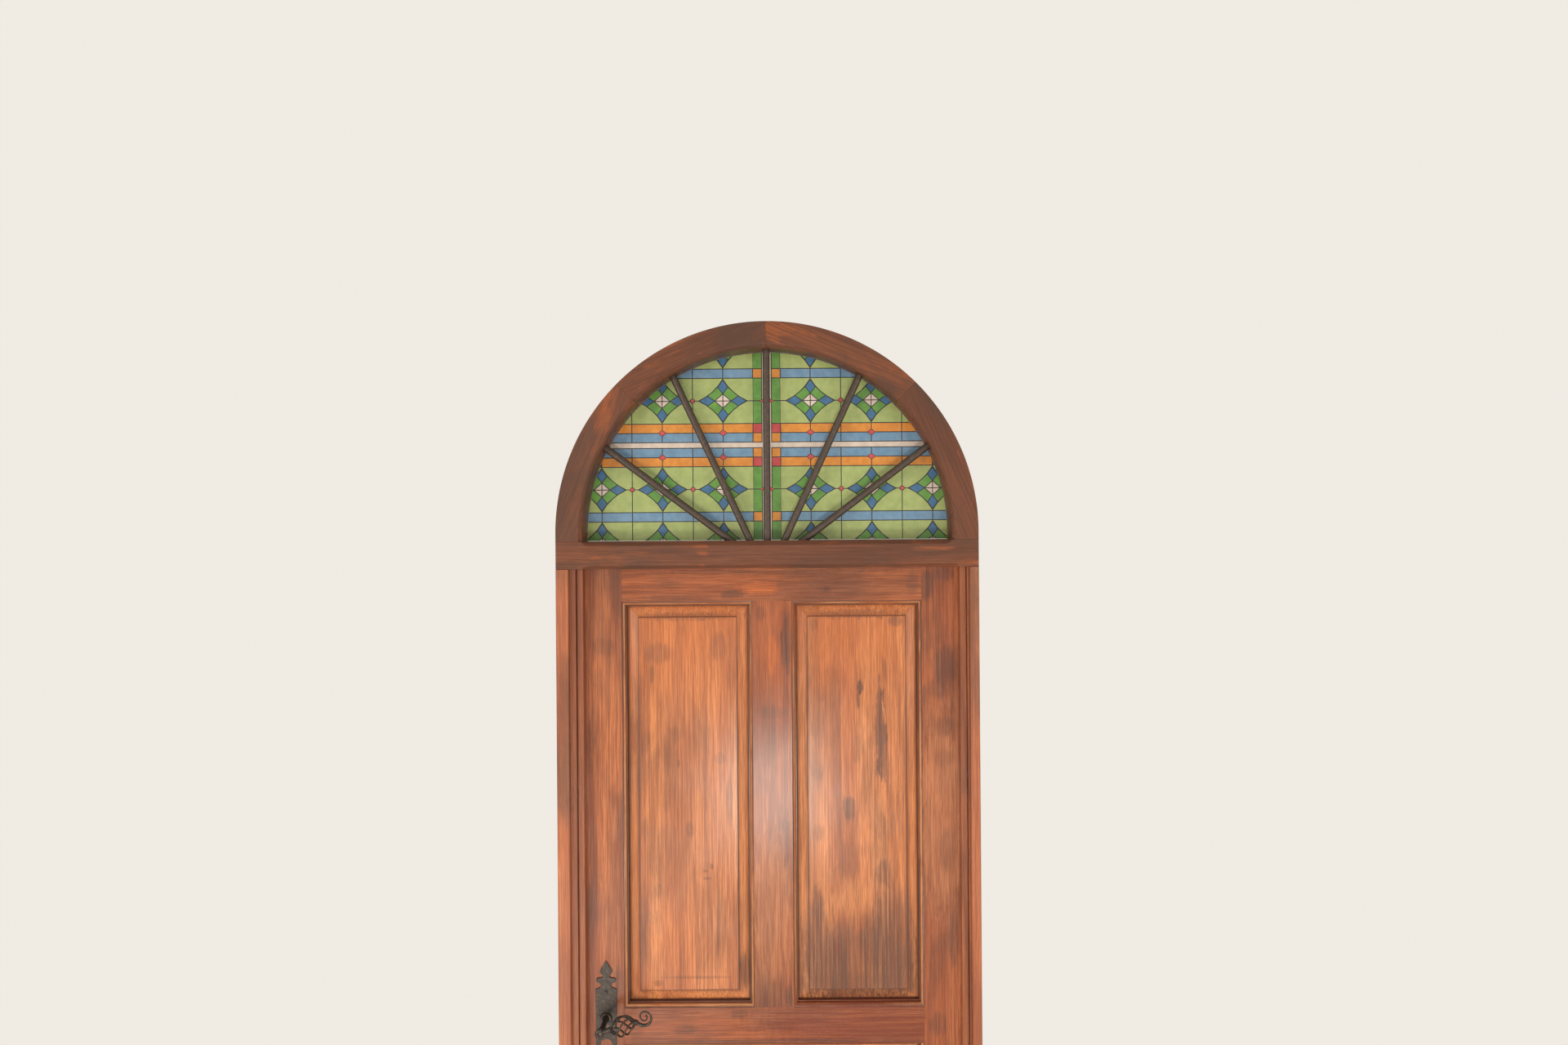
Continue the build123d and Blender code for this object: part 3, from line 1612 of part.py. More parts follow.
scroll_foot = lever_root + Vector(scroll_start, 0, scroll_base)
scroll_points = [
    lever_place(basket_start + basket_length - collar_length / 2),
    lever_root + Vector(tail_dip, 0, scroll_base + 1),
    scroll_foot,
]
scroll_points += scroll_turn(scroll_foot, scroll_outer, -90)
scroll_points += scroll_turn(scroll_points[-1], scroll_middle, 90)
scroll_points += scroll_turn(scroll_points[-1], scroll_inner, -90)

with BuildPart() as front_lever:
    with BuildSketch(facing_plane(handle_x, handle_height, leaf_front + neck_inside)):
        Circle(neck_radius)
    extrude(amount=leaf_front + neck_inside - boss_front + running_gap)
    with BuildSketch(facing_plane(handle_x, handle_height, boss_front)):
        RegularPolygon(neck_waist, lever_sides)
    extrude(amount=boss_front - lever_depth)
    with BuildSketch(facing_plane(handle_x, handle_height, lever_depth)):
        RegularPolygon(lever_knob_radius, hole_sides)
    extrude(amount=lever_knob_depth, both=True)
    with BuildSketch(Plane(origin=lever_root, x_dir=(0, 1, 0), z_dir=lever_slope)):
        RegularPolygon(lever_bar_radius, lever_sides)
    extrude(amount=basket_start)
    for middle in (basket_start, basket_start + basket_length):
        with BuildSketch(Plane(origin=lever_place(middle), x_dir=(0, 1, 0), z_dir=lever_slope)):
            RegularPolygon(collar_radius, lever_sides)
        extrude(amount=collar_length / 2, both=True)
    for rod in range(basket_rods):
        turn = rod * 360 / basket_rods
        add(bar_along([basket_point(turn, step) for step in range(basket_steps + 1)], basket_rod))
    add(bar_along(scroll_points, basket_rod))
    with Locations((handle_x, 0, handle_height)):
        Box(
            spindle_size + 2 * running_gap,
            2 * (spindle_end + running_gap),
            spindle_size + 2 * running_gap,
            mode=Mode.SUBTRACT,
        )
front_lever.part.label = "front_lever"
export_step(front_lever.part, "parts/front_lever.step")

with BuildPart() as rear_lever:
    mirror(front_lever.part, about=Plane.XZ)
rear_lever.part.label = "rear_lever"
export_step(rear_lever.part, "parts/rear_lever.step")
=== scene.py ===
"""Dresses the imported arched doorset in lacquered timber, coloured film and forged iron, and lights it."""

import logging
import math
from dataclasses import dataclass
from enum import Enum
from typing import Any, Iterable, Sequence

import bpy
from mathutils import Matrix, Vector


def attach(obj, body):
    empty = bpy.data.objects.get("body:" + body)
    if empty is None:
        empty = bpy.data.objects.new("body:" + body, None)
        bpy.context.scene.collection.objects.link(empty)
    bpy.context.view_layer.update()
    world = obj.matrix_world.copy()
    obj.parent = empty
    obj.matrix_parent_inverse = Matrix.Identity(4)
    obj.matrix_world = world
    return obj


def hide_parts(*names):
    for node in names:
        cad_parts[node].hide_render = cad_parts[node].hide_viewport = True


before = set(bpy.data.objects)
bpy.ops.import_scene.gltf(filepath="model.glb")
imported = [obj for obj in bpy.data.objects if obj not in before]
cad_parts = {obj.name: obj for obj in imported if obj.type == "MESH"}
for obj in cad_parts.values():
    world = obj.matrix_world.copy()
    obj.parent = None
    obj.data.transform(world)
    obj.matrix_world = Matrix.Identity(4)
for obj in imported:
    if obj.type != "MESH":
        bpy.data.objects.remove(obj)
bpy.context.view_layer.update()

MM = 0.001
WELD_GAP = 0.02 * MM
EASE_ANGLE = 32.0
ANY_DEPTH = 9.0
Node, Tree, Socket = bpy.types.Node, bpy.types.NodeTree, bpy.types.NodeSocket
Material, Object = bpy.types.Material, bpy.types.Object
Colour = tuple[float, float, float]
Profile = tuple[tuple[float, float], ...]
log = logging.getLogger("doorset")


class Grain(Enum):
    """Which way a board's grain runs: the turn in degrees from upright, about the Y axis."""

    UPRIGHT = 0.0
    LEVEL = 90.0
    ARCH_LOWER_RIGHT = 22.5
    ARCH_UPPER_RIGHT = 67.5
    ARCH_LOWER_LEFT = -22.5
    ARCH_UPPER_LEFT = -67.5


@dataclass(frozen=True)
class Noise:
    """A noise: lumps in a metre along X, Y and Z, octaves, what each keeps, distortion, and the span of its mask."""

    stretch: tuple[float, float, float]
    detail: float = 2.0
    rough: float = 0.5
    bend: float = 0.0
    low: float = 0.3
    high: float = 0.7


# Timber
GROWTH = Noise((5.5, 5.5, 0.5), 1.5, 0.45)
JITTER = Noise((380, 380, 6))
BANDS = Noise((21, 21, 0.9), 3.0, 0.55, 0.3, 0.3, 0.68)
STREAKS = Noise((250, 250, 4.2), 3.0, 0.6, 0.0, 0.43, 0.62)
FIBRES = Noise((620, 620, 15), 2.0, 0.6, 0.0, 0.46, 0.64)
CLOUDS = Noise((1.0, 1.0, 0.45), 5.0, 0.58, 0.5)
RUBBED = Noise((120, 120, 5), 3.0, 0.6, 0.0, 0.42, 0.62)
UNEVEN_DIRT_AND_PAINTED_LIGHT = Noise((9, 9, 7), 4.0, 0.6)
TORN_EDGE = Noise((120, 60, 24), 6.0, 0.7)
UNEVEN_LACQUER = Noise((14, 14, 9), 3.0)
# Metal
PITS = Noise((900, 900, 900), 3.0, 0.6)
WORN_BLACK = Noise((130, 130, 130), 4.0, 0.6, 0.0, 0.5, 0.7)
UNEVEN_IRON = Noise((260, 260, 260), 3.0)
BRUSHED = Noise((900, 900, 60), 3.0, 0.6)
TARNISH = Noise((70, 70, 70), 4.0, 0.6, 0.0, 0.42, 0.66)
# Film and glass
FILM_CLOUD = Noise((60, 60, 60), 4.0, 0.6)
FILM_GRIT = Noise((620, 620, 620), 3.0, 0.6)
GLASS_RIPPLE = Noise((45, 45, 45))

# How far a seed moves the place where a figure is read, along X, Y and Z
FIGURE_STEPS = (1.37, 0.71, 2.93)
CLOUD_STEPS = (3.1, 1.3, 0.77)
RING_JITTER = 0.9
RING_SPAN = (0.3, 1.5)
# Share of growth rings and fibres in a board's relief
RING_DEPTH, FIBRE_DEPTH = -0.35, -0.65
# Glued strips: where the joint starts in half a strip, and how much of shift, tone and joint shows
JOINT_SPAN = (0.475, 0.5)
STRIP_SHIFT, STRIP_TONE, STRIP_JOINT = 7.0, 0.55, 0.35
# Marks: their outer edge in reaches, the swing of a torn edge, and how the grain shows in them
MARK_EDGE, MARK_SWING = 1.15, 3.0
GRAIN_IN_MARKS = (0.66, 1.12)
# Edge bands of dirt with painted shade, and of painted highlight: their fall in widths from the edge, and the span
# that breaks them up
DIRT_AND_PAINTED_LIGHT_FALL = (1.0, 0.1)
DIRT_AND_PAINTED_LIGHT_BREAKS = (0.36, 0.58)
RUB_CLOUDS = {"size": 16.0, "cover": 0.58, "soft": 0.05}
RUB_SEED = 4.0
PIT_SHARE = 0.25
FILM_SPAN = (0.36, 0.64)
# Swing of the roughness about its middle
LACQUER_SWING = (-0.07, 0.1)
METAL_SWING = (-0.08, 0.12)


def between(ends: tuple[float, float], share: float) -> float:
    """The number at a share of the way from one end to the other."""
    return ends[0] + (ends[1] - ends[0]) * share


def circle(count: int) -> list[float]:
    """A number of even turns round a circle, in radians."""
    return [2 * math.pi * step / count for step in range(count)]


def spoke(turn: float, reach: float) -> Vector:
    """A vector in an upright plane, turned from +X towards +Z."""
    return Vector((math.cos(turn), 0.0, math.sin(turn))) * reach


def placed(name: str, data: bpy.types.ID) -> Object:
    """Makes an object of a mesh, lamp or camera and puts it in the scene."""
    made = bpy.data.objects.new(name, data)
    bpy.context.scene.collection.objects.link(made)
    return made


class Bench:
    """Adds nodes to one shader tree and joins them."""

    def __init__(self, tree: Tree) -> None:
        """Keeps the tree that the nodes go into."""
        self.tree = tree

    def node(self, kind: str, **settings: Any) -> Node:
        """Adds a node.

        Args:
            kind: The node's type, without the ShaderNode prefix.
            **settings: Attributes to set on it.

        Returns:
            The new node.
        """
        made = self.tree.nodes.new("ShaderNode" + kind)
        for name, value in settings.items():
            setattr(made, name, value)
        return made

    def feed(self, socket: Socket, value: Any) -> None:
        """Joins a socket to another, or sets its value.

        Args:
            socket: The input socket.
            value: An output socket, a number, a vector or a colour.
        """
        if isinstance(value, Socket):
            self.tree.links.new(value, socket)
        elif isinstance(value, (tuple, list)) and socket.type == "RGBA" and len(value) == 3:
            socket.default_value = (*value, 1.0)
        else:
            socket.default_value = value

    def fill(self, target: Node, values: dict[int | str, Any]) -> Node:
        """Feeds a node's inputs, by name or number, and returns the node."""
        for key, value in values.items():
            self.feed(target.inputs[key], value)
        return target

    def math(self, operation: str, *values: Any) -> Socket:
        """Adds a Math node and returns its value."""
        return self.fill(self.node("Math", operation=operation), dict(enumerate(values))).outputs[0]

    def times(self, *factors: Any) -> Socket:
        """Multiplies numbers together."""
        product = factors[0]
        for factor in factors[1:]:
            product = self.math("MULTIPLY", product, factor)
        return product

    def vector(self, operation: str, *values: Any) -> Socket:
        """Adds a Vector Math node and returns its vector, or its number for a length."""
        made = self.fill(self.node("VectorMath", operation=operation), dict(enumerate(values)))
        return made.outputs["Value" if operation == "LENGTH" else "Vector"]

    def combine(self, *parts: Any) -> Socket:
        """Makes a vector from up to three numbers."""
        return self.fill(self.node("CombineXYZ"), dict(enumerate(parts))).outputs[0]

    def split(self, vector: Any) -> Sequence[Socket]:
        """Takes a vector apart into its three numbers."""
        return self.fill(self.node("SeparateXYZ"), {0: vector}).outputs

    def noise(self, place: Any, kind: Noise) -> Socket:
        """Adds a noise texture and returns its value, around 0.5."""
        return self.fill(self.node("TexNoise"), {
            "Vector": self.vector("MULTIPLY", place, kind.stretch), "Scale": 1.0, "Detail": kind.detail,
            "Roughness": kind.rough, "Distortion": kind.bend,
        }).outputs["Fac"]

    def span(self, value: Any, low: Any, high: Any, start: float = 0.0, end: float = 1.0) -> Socket:
        """Adds a smooth step of a value from low to high."""
        made = self.node("MapRange", interpolation_type="SMOOTHSTEP")
        self.fill(made, {"Value": value, "From Min": low, "From Max": high, "To Min": start, "To Max": end})
        return made.outputs["Result"]

    def mask(self, place: Any, kind: Noise, start: float = 0.0, end: float = 1.0) -> Socket:
        """Adds a noise texture and stretches it over its span."""
        return self.span(self.noise(place, kind), kind.low, kind.high, start, end)

    def lay(self, under: Any, over: Any, *masks: Any) -> Socket:
        """Lays one colour over another by the product of some masks, and returns the mix."""
        made = self.node("Mix", data_type="RGBA", blend_type="MIX", clamp_factor=True)
        return self.fill(made, {0: self.times(*masks), 6: under, 7: over}).outputs[2]

    def group(self, tree: Tree, **values: Any) -> Node:
        """Places a node group.

        Args:
            tree: The group.
            **values: Its inputs by name, in lower case.

        Returns:
            The group's node.
        """
        made = self.node("Group")
        made.node_tree = tree
        return self.fill(made, {name.title(): value for name, value in values.items()})


class Groups:
    """The shared shader node groups, each built once."""

    def __init__(self) -> None:
        """Builds every group."""
        self.figure = self._figure()
        self.strips = self._strips()
        self.stain = self._stain()
        self.patch = self._patch()
        self.border = self._border()
        self.hammered = self._hammered()
        self.mottle = self._mottle()

    @staticmethod
    def _start(name: str, inputs: dict[str, Any], outputs: Iterable[str]) -> tuple[Bench, Any, Node]:
        """Starts a group that is read at a vector.

        Args:
            name: The group's name.
            inputs: The default value of each further input: a number, or three for a vector.
            outputs: The names of its outputs, all of them numbers.

        Returns:
            A bench on the group, the values given to it, and its output node.
        """
        tree = bpy.data.node_groups.new(name, "ShaderNodeTree")
        for label, value in {"Vector": (0, 0, 0), **inputs}.items():
            kind = "NodeSocketVector" if isinstance(value, tuple) else "NodeSocketFloat"
            tree.interface.new_socket(label, in_out="INPUT", socket_type=kind).default_value = value
        for label in outputs:
            tree.interface.new_socket(label, in_out="OUTPUT", socket_type="NodeSocketFloat")
        return Bench(tree), tree.nodes.new("NodeGroupInput").outputs, tree.nodes.new("NodeGroupOutput")

    @staticmethod
    def _seeded(bench: Bench, given: Any, steps: Sequence[float]) -> Socket:
        """Moves the place where a figure is read, by its seed."""
        offset = bench.combine(*(bench.times(given["Seed"], step) for step in steps))
        return bench.vector("ADD", given["Vector"], offset)

    def _figure(self) -> Tree:
        """The figure of a board whose grain runs along Z: bands, growth rings, streaks, fibres and their relief."""
        bench, given, out = self._start(
            "board_figure", {"Seed": 0.0, "Rings": 9.0}, ("Bands", "Rings", "Streaks", "Fibres", "Height")
        )
        place = self._seeded(bench, given, FIGURE_STEPS)
        wave = bench.math("SINE", bench.times(bench.noise(place, GROWTH), given["Rings"], 2 * math.pi))
        jitter = bench.times(bench.noise(place, JITTER), RING_JITTER)
        rings = bench.span(bench.math("ADD", wave, jitter), *RING_SPAN)
        fibres = bench.mask(place, FIBRES)
        height = bench.math("ADD", bench.times(rings, RING_DEPTH), bench.times(fibres, FIBRE_DEPTH))
        bench.fill(out, {
            "Bands": bench.mask(place, BANDS), "Rings": rings, "Streaks": bench.mask(place, STREAKS),
            "Fibres": fibres, "Height": height,
        })
        return bench.tree

    def _strips(self) -> Tree:
        """A panel glued up from upright strips: each strip's tone, and the shift of its figure."""
        bench, given, out = self._start(
            "glued_strips", {"Start": 0.0, "Width": 0.034, "Seed": 0.0}, ("Tone", "Shift", "Joint")
        )
        across = bench.math("SUBTRACT", bench.split(given["Vector"])[0], given["Start"])
        count = bench.math("DIVIDE", across, given["Width"])
        number = bench.math("FLOOR", count)
        chance = bench.node("TexWhiteNoise", noise_dimensions="2D")
        bench.fill(chance, {"Vector": bench.combine(number, given["Seed"])})
        parts = bench.split(chance.outputs["Color"])
        edge = bench.math("ABSOLUTE", bench.math("SUBTRACT", bench.math("SUBTRACT", count, number), 0.5))
        bench.fill(out, {"Tone": parts[0], "Shift": parts[1], "Joint": bench.span(edge, *JOINT_SPAN)})
        return bench.tree

    def _stain(self) -> Tree:
        """Cloudy patches where the dark stain has gathered."""
        bench, given, out = self._start(
            "stain_clouds", {"Seed": 0.0, "Size": 6.0, "Cover": 0.6, "Soft": 0.1}, ("Mask",)
        )
        scaled = bench.node("VectorMath", operation="SCALE")
        bench.fill(scaled, {0: self._seeded(bench, given, CLOUD_STEPS), "Scale": given["Size"]})
        cloud = bench.noise(scaled.outputs["Vector"], CLOUDS)
        low, high = (bench.math(side, given["Cover"], given["Soft"]) for side in ("SUBTRACT", "ADD"))
        bench.fill(out, {"Mask": bench.span(cloud, low, high)})
        return bench.tree

    def _patch(self) -> Tree:
        """One soft-edged mark on an upright face, ragged by the torn noise that comes in."""
        bench, given, out = self._start(
            "soft_patch",
            {"Centre": (0, 0, 0), "Reach": (0.01, 1.0, 0.01), "Torn": 0.5, "Ragged": 0.5, "Soft": 0.5},
            ("Mask",),
        )
        away = bench.vector("SUBTRACT", given["Vector"], given["Centre"])
        flat = bench.vector("MULTIPLY", bench.vector("DIVIDE", away, given["Reach"]), (1.0, 0.0, 1.0))
        torn = bench.times(bench.math("SUBTRACT", given["Torn"], 0.5), given["Ragged"], MARK_SWING)
        distance = bench.math("ADD", bench.vector("LENGTH", flat), torn)
        inner = bench.math("SUBTRACT", MARK_EDGE, given["Soft"])
        bench.fill(out, {"Mask": bench.span(distance, MARK_EDGE, inner)})
        return bench.tree

    def _border(self) -> Tree:
        """A band along the edges of an upright rectangle, laid as dirt with painted shade or as a painted highlight.
        """
        bench, given, out = self._start(
            "border_dirt_and_painted_light",
            {"Centre": (0, 0, 0), "Half": (1, 1, 1), "Width": 0.02, "Uneven": 0.5, "Broken": 0.5},
            ("Mask",),
        )
        away = bench.vector("ABSOLUTE", bench.vector("SUBTRACT", given["Vector"], given["Centre"]))
        past = bench.split(bench.vector("SUBTRACT", away, given["Half"]))
        edge = bench.math("ABSOLUTE", bench.math("MAXIMUM", past[0], past[2]))
        width = bench.times(given["Width"], given["Uneven"], 2.0)
        near = bench.span(bench.math("DIVIDE", edge, width), *DIRT_AND_PAINTED_LIGHT_FALL)
        gaps = bench.math("SUBTRACT", bench.span(given["Uneven"], *DIRT_AND_PAINTED_LIGHT_BREAKS), 1.0)
        kept = bench.math("ADD", bench.times(gaps, given["Broken"]), 1.0)
        bench.fill(out, {"Mask": bench.times(near, kept)})
        return bench.tree

    def _hammered(self) -> Tree:
        """The dents of forged iron, and where its black has worn."""
        bench, given, out = self._start("hammered_iron", {"Size": 160.0}, ("Height", "Wear"))
        dents = bench.node("TexVoronoi", feature="SMOOTH_F1")
        bench.fill(dents, {"Vector": given["Vector"], "Scale": given["Size"]})
        pits = bench.times(bench.noise(given["Vector"], PITS), PIT_SHARE)
        height = bench.math("ADD", dents.outputs["Distance"], pits)
        bench.fill(out, {"Height": height, "Wear": bench.mask(given["Vector"], WORN_BLACK)})
        return bench.tree

    def _mottle(self) -> Tree:
        """The pebbled, cloudy look of cathedral glass film."""
        bench, given, out = self._start("film_mottle", {}, ("Tone", "Height"))
        cloud, grit = (bench.noise(given["Vector"], kind) for kind in (FILM_CLOUD, FILM_GRIT))
        tone = bench.math("ADD", bench.times(cloud, 0.5), bench.times(grit, 0.5))
        bench.fill(out, {"Tone": bench.span(tone, *FILM_SPAN), "Height": grit})
        return bench.tree


GROUPS = Groups()


def fresh_material(name: str) -> tuple[Material, Bench, Node, Socket]:
    """Starts a node material.

    Args:
        name: The material's name.

    Returns:
        The material, a bench on it, its Principled shader and the object's own coordinates.
    """
    made = bpy.data.materials.new(name)
    made.use_nodes = True
    made.node_tree.nodes.clear()
    bench = Bench(made.node_tree)
    shader = bench.node("BsdfPrincipled")
    output = bench.node("OutputMaterial")
    bench.feed(output.inputs["Surface"], shader.outputs["BSDF"])
    return made, bench, shader, bench.node("TexCoord").outputs["Object"]


def bumped(bench: Bench, height: Any, distance: float) -> Socket:
    """Adds a Bump node.

    Args:
        bench: The bench of the material.
        height: The height between 0 and 1.
        distance: The real height that 1 stands for, in metres.

    Returns:
        The bumped normal.
    """
    return bench.fill(bench.node("Bump"), {"Height": height, "Distance": distance, "Strength": 1.0}).outputs["Normal"]


@dataclass(frozen=True)
class Patch:
    """A mark on an upright face, in mm: middle, reach, strength, raggedness, colour if not the stain's, softness. Some
    marks are painted shade and painted sheen.
    """

    x: float
    z: float
    reach_x: float
    reach_z: float
    strength: float = 0.6
    ragged: float = 0.5
    colour: Colour | None = None
    soft: float = 0.62


@dataclass(frozen=True)
class Trim:
    """A band round a panel, of dirt with painted shade in the stain's colour or of painted highlight in its own
    colour: inset from the arrises, width, strength, how broken it is, colour if not the stain's.
    """

    inset: float
    width: float
    strength: float
    broken: float
    colour: Colour | None = None


@dataclass(frozen=True)
class Strips:
    """How a panel is glued up: where a joint lies, and how wide the strips are."""

    start: float
    width: float


@dataclass(frozen=True)
class Opening:
    """The sight size of one panel: the four arrises round it."""

    panel: str
    left: float
    right: float
    low: float
    high: float
    strips: Strips

    def centre(self) -> tuple[float, float, float]:
        """Its middle."""
        return (self.left + self.right) / 2, 0.0, (self.low + self.high) / 2

    def half(self, inset: float) -> tuple[float, float, float]:
        """Half its size, less an inset all round."""
        return (self.right - self.left) / 2 - inset, ANY_DEPTH, (self.high - self.low) / 2 - inset


@dataclass(frozen=True)
class TimberFinish:
    """A stained and lacquered board."""

    name: str
    light: Colour
    deep: Colour
    ring: Colour
    stain: Colour
    stain_size: float = 5.0
    stain_cover: float = 0.6
    stain_soft: float = 0.09
    stain_share: float = 0.7
    rings: float = 9.0
    ring_share: float = 0.55
    streak_share: float = 0.5
    fibre_share: float = 0.45
    rub: Colour = (0.5, 0.16, 0.05)
    rub_share: float = 0.0
    rough: float = 0.45
    specular: float = 0.3
    coat: float = 0.28
    coat_rough: float = 0.2
    relief: float = 0.0004

    def marked(
        self, bench: Bench, here: Any, colour: Any, streaks: Any, patches: Sequence[Patch],
        trims: Sequence[tuple[Opening, Trim]],
    ) -> Socket:
        """Adds a board's own marks, painted shade and painted highlights to its colour.

        Args:
            bench: The material's bench.
            here: The object's coordinates.
            colour: The colour so far.
            streaks: The grain that shows in the marks.
            patches: Its marks.
            trims: Bands of dirt with painted shade, and of painted highlight, each with the opening that it runs
                round.

        Returns:
            The marked colour.
        """
        uneven = bench.noise(here, UNEVEN_DIRT_AND_PAINTED_LIGHT)
        # Bands: dirt with painted shade in the stain's colour along the creases, and painted highlights in their own
        # colours.
        for opening, trim in trims:
            dirt_and_painted_light = bench.group(
                GROUPS.border, vector=here, centre=opening.centre(), half=opening.half(trim.inset),
                width=trim.width, uneven=uneven, broken=trim.broken,
            )
            colour = bench.lay(colour, trim.colour or self.stain, dirt_and_painted_light.outputs["Mask"], trim.strength)
        torn = bench.noise(here, TORN_EDGE)
        grained = bench.span(streaks, 0.0, 1.0, *GRAIN_IN_MARKS)
        # Marks: stains and wood tones, with painted shade at the top of the leaf and under the transom, and painted
        # sheen in its middle.
        for patch in patches:
            mark = bench.group(
                GROUPS.patch, vector=here, centre=(patch.x * MM, 0.0, patch.z * MM),
                reach=(patch.reach_x * MM, 1.0, patch.reach_z * MM), torn=torn, ragged=patch.ragged, soft=patch.soft,
            )
            colour = bench.lay(colour, patch.colour or self.stain, mark.outputs["Mask"], grained, patch.strength)
        return colour

    def material(
        self, label: str, grain: Grain, seed: float, patches: Sequence[Patch] = (),
        trims: Sequence[tuple[Opening, Trim]] = (), strips: Strips | None = None,
    ) -> Material:
        """Makes the material of one board.

        Args:
            label: The board's name.
            grain: Which way its grain runs.
            seed: Where its figure is read.
            patches: Its own marks.
            trims: Bands of dirt with painted shade, and of painted highlight, each with the opening that it runs
                round.
            strips: How it is glued up, or None for one board.

        Returns:
            The material.
        """
        made, bench, shader, here = fresh_material(f"{self.name}_{label}")
        turned = bench.node("Mapping", vector_type="POINT")
        bench.fill(turned, {"Vector": here, "Rotation": (0.0, math.radians(grain.value), 0.0)})
        along = turned.outputs["Vector"]
        glued = None
        if strips:
            glued = bench.group(GROUPS.strips, vector=here, start=strips.start, width=strips.width, seed=seed).outputs
            shift = bench.combine(0.0, 0.0, bench.times(glued["Shift"], STRIP_SHIFT))
            along = bench.vector("ADD", along, shift)
        figure = bench.group(GROUPS.figure, vector=along, seed=seed, rings=self.rings).outputs
        colour = bench.lay(self.light, self.deep, figure["Bands"])
        if glued:
            colour = bench.lay(colour, self.deep, glued["Tone"], STRIP_TONE)
            colour = bench.lay(colour, self.ring, glued["Joint"], STRIP_JOINT)
        colour = bench.lay(colour, self.ring, figure["Rings"], self.ring_share)
        colour = bench.lay(colour, self.ring, figure["Streaks"], self.streak_share)
        if self.rub_share > 0.0:
            rubbed = bench.group(GROUPS.stain, vector=along, seed=seed + RUB_SEED, **RUB_CLOUDS)
            across = bench.mask(along, RUBBED)
            colour = bench.lay(colour, self.rub, rubbed.outputs["Mask"], across, self.rub_share)
        cloud = bench.group(
            GROUPS.stain, vector=along, seed=seed, size=self.stain_size, cover=self.stain_cover, soft=self.stain_soft
        )
        colour = bench.lay(colour, self.stain, cloud.outputs["Mask"], self.stain_share)
        colour = self.marked(bench, here, colour, figure["Streaks"], patches, trims)
        bench.fill(shader, {
            "Base Color": bench.lay(colour, self.ring, figure["Fibres"], self.fibre_share),
            "Roughness": bench.mask(here, UNEVEN_LACQUER, *(self.rough + swing for swing in LACQUER_SWING)),
            "Specular IOR Level": self.specular, "Coat Weight": self.coat, "Coat Roughness": self.coat_rough,
            "Normal": bumped(bench, figure["Height"], self.relief),
        })
        return made


@dataclass(frozen=True)
class IronFinish:
    """Blackened forged iron, with a little brown where it is handled."""

    name: str
    black: Colour
    worn: Colour
    wear: float = 0.5
    size: float = 160.0
    metal: float = 0.6
    rough: float = 0.4
    relief: float = 0.0005

    def material(self) -> Material:
        """Makes the material."""
        made, bench, shader, here = fresh_material(self.name)
        forged = bench.group(GROUPS.hammered, vector=here, size=self.size).outputs
        bench.fill(shader, {
            "Base Color": bench.lay(self.black, self.worn, forged["Wear"], self.wear), "Metallic": self.metal,
            "Roughness": bench.mask(here, UNEVEN_IRON, *(self.rough + swing for swing in METAL_SWING)),
            "Normal": bumped(bench, forged["Height"], self.relief),
        })
        return made


@dataclass(frozen=True)
class PlatedFinish:
    """Plated or bare metal of hinges, lock and screws, brushed along Z."""

    name: str
    bright: Colour
    dull: Colour
    rough: float = 0.35
    metal: float = 0.9
    relief: float = 0.06 * MM

    def material(self) -> Material:
        """Makes the material."""
        made, bench, shader, here = fresh_material(self.name)
        brushed = bench.noise(here, BRUSHED)
        swing = (self.rough + step for step in METAL_SWING)
        bench.fill(shader, {
            "Base Color": bench.lay(self.bright, self.dull, bench.mask(here, TARNISH)), "Metallic": self.metal,
            "Roughness": bench.span(brushed, BRUSHED.low, BRUSHED.high, *swing),
            "Normal": bumped(bench, brushed, self.relief),
        })
        return made


@dataclass(frozen=True)
class FilmFinish:
    """One colour of the leaded-look film on the fanlight's glass."""

    name: str
    pale: Colour
    deep: Colour
    rough: float = 0.32
    coat: float = 0.3
    coat_rough: float = 0.12
    relief: float = 0.25 * MM

    def material(self) -> Material:
        """Makes the material."""
        made, bench, shader, here = fresh_material(self.name)
        mottle = bench.group(GROUPS.mottle, vector=here).outputs
        bench.fill(shader, {
            "Base Color": bench.lay(self.deep, self.pale, mottle["Tone"]), "Roughness": self.rough,
            "Coat Weight": self.coat, "Coat Roughness": self.coat_rough,
            "Normal": bumped(bench, mottle["Height"], self.relief),
        })
        return made


def cad(name: str) -> Object:
    """The CAD object of a node."""
    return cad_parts[name]


def dress(name: str, material: Material, ease: float = 0.0) -> None:
    """Gives a CAD node its material, and eases its sharp edges.

    Args:
        name: The node.
        material: Its material.
        ease: The width of the eased edge in metres, or 0 for none.
    """
    piece = cad(name)
    for place in piece.material_slots:
        place.material = material
    if ease > 0.0:
        joined = piece.modifiers.new("join_corners", "WELD")
        joined.merge_threshold = WELD_GAP
        eased = piece.modifiers.new("ease_edges", "BEVEL")
        eased.width = ease
        eased.segments = 2
        eased.limit_method = "ANGLE"
        eased.angle_limit = math.radians(EASE_ANGLE)
        eased.harden_normals = True
        eased.use_clamp_overlap = True
    log.info("dressed %s with %s", name, material.name)


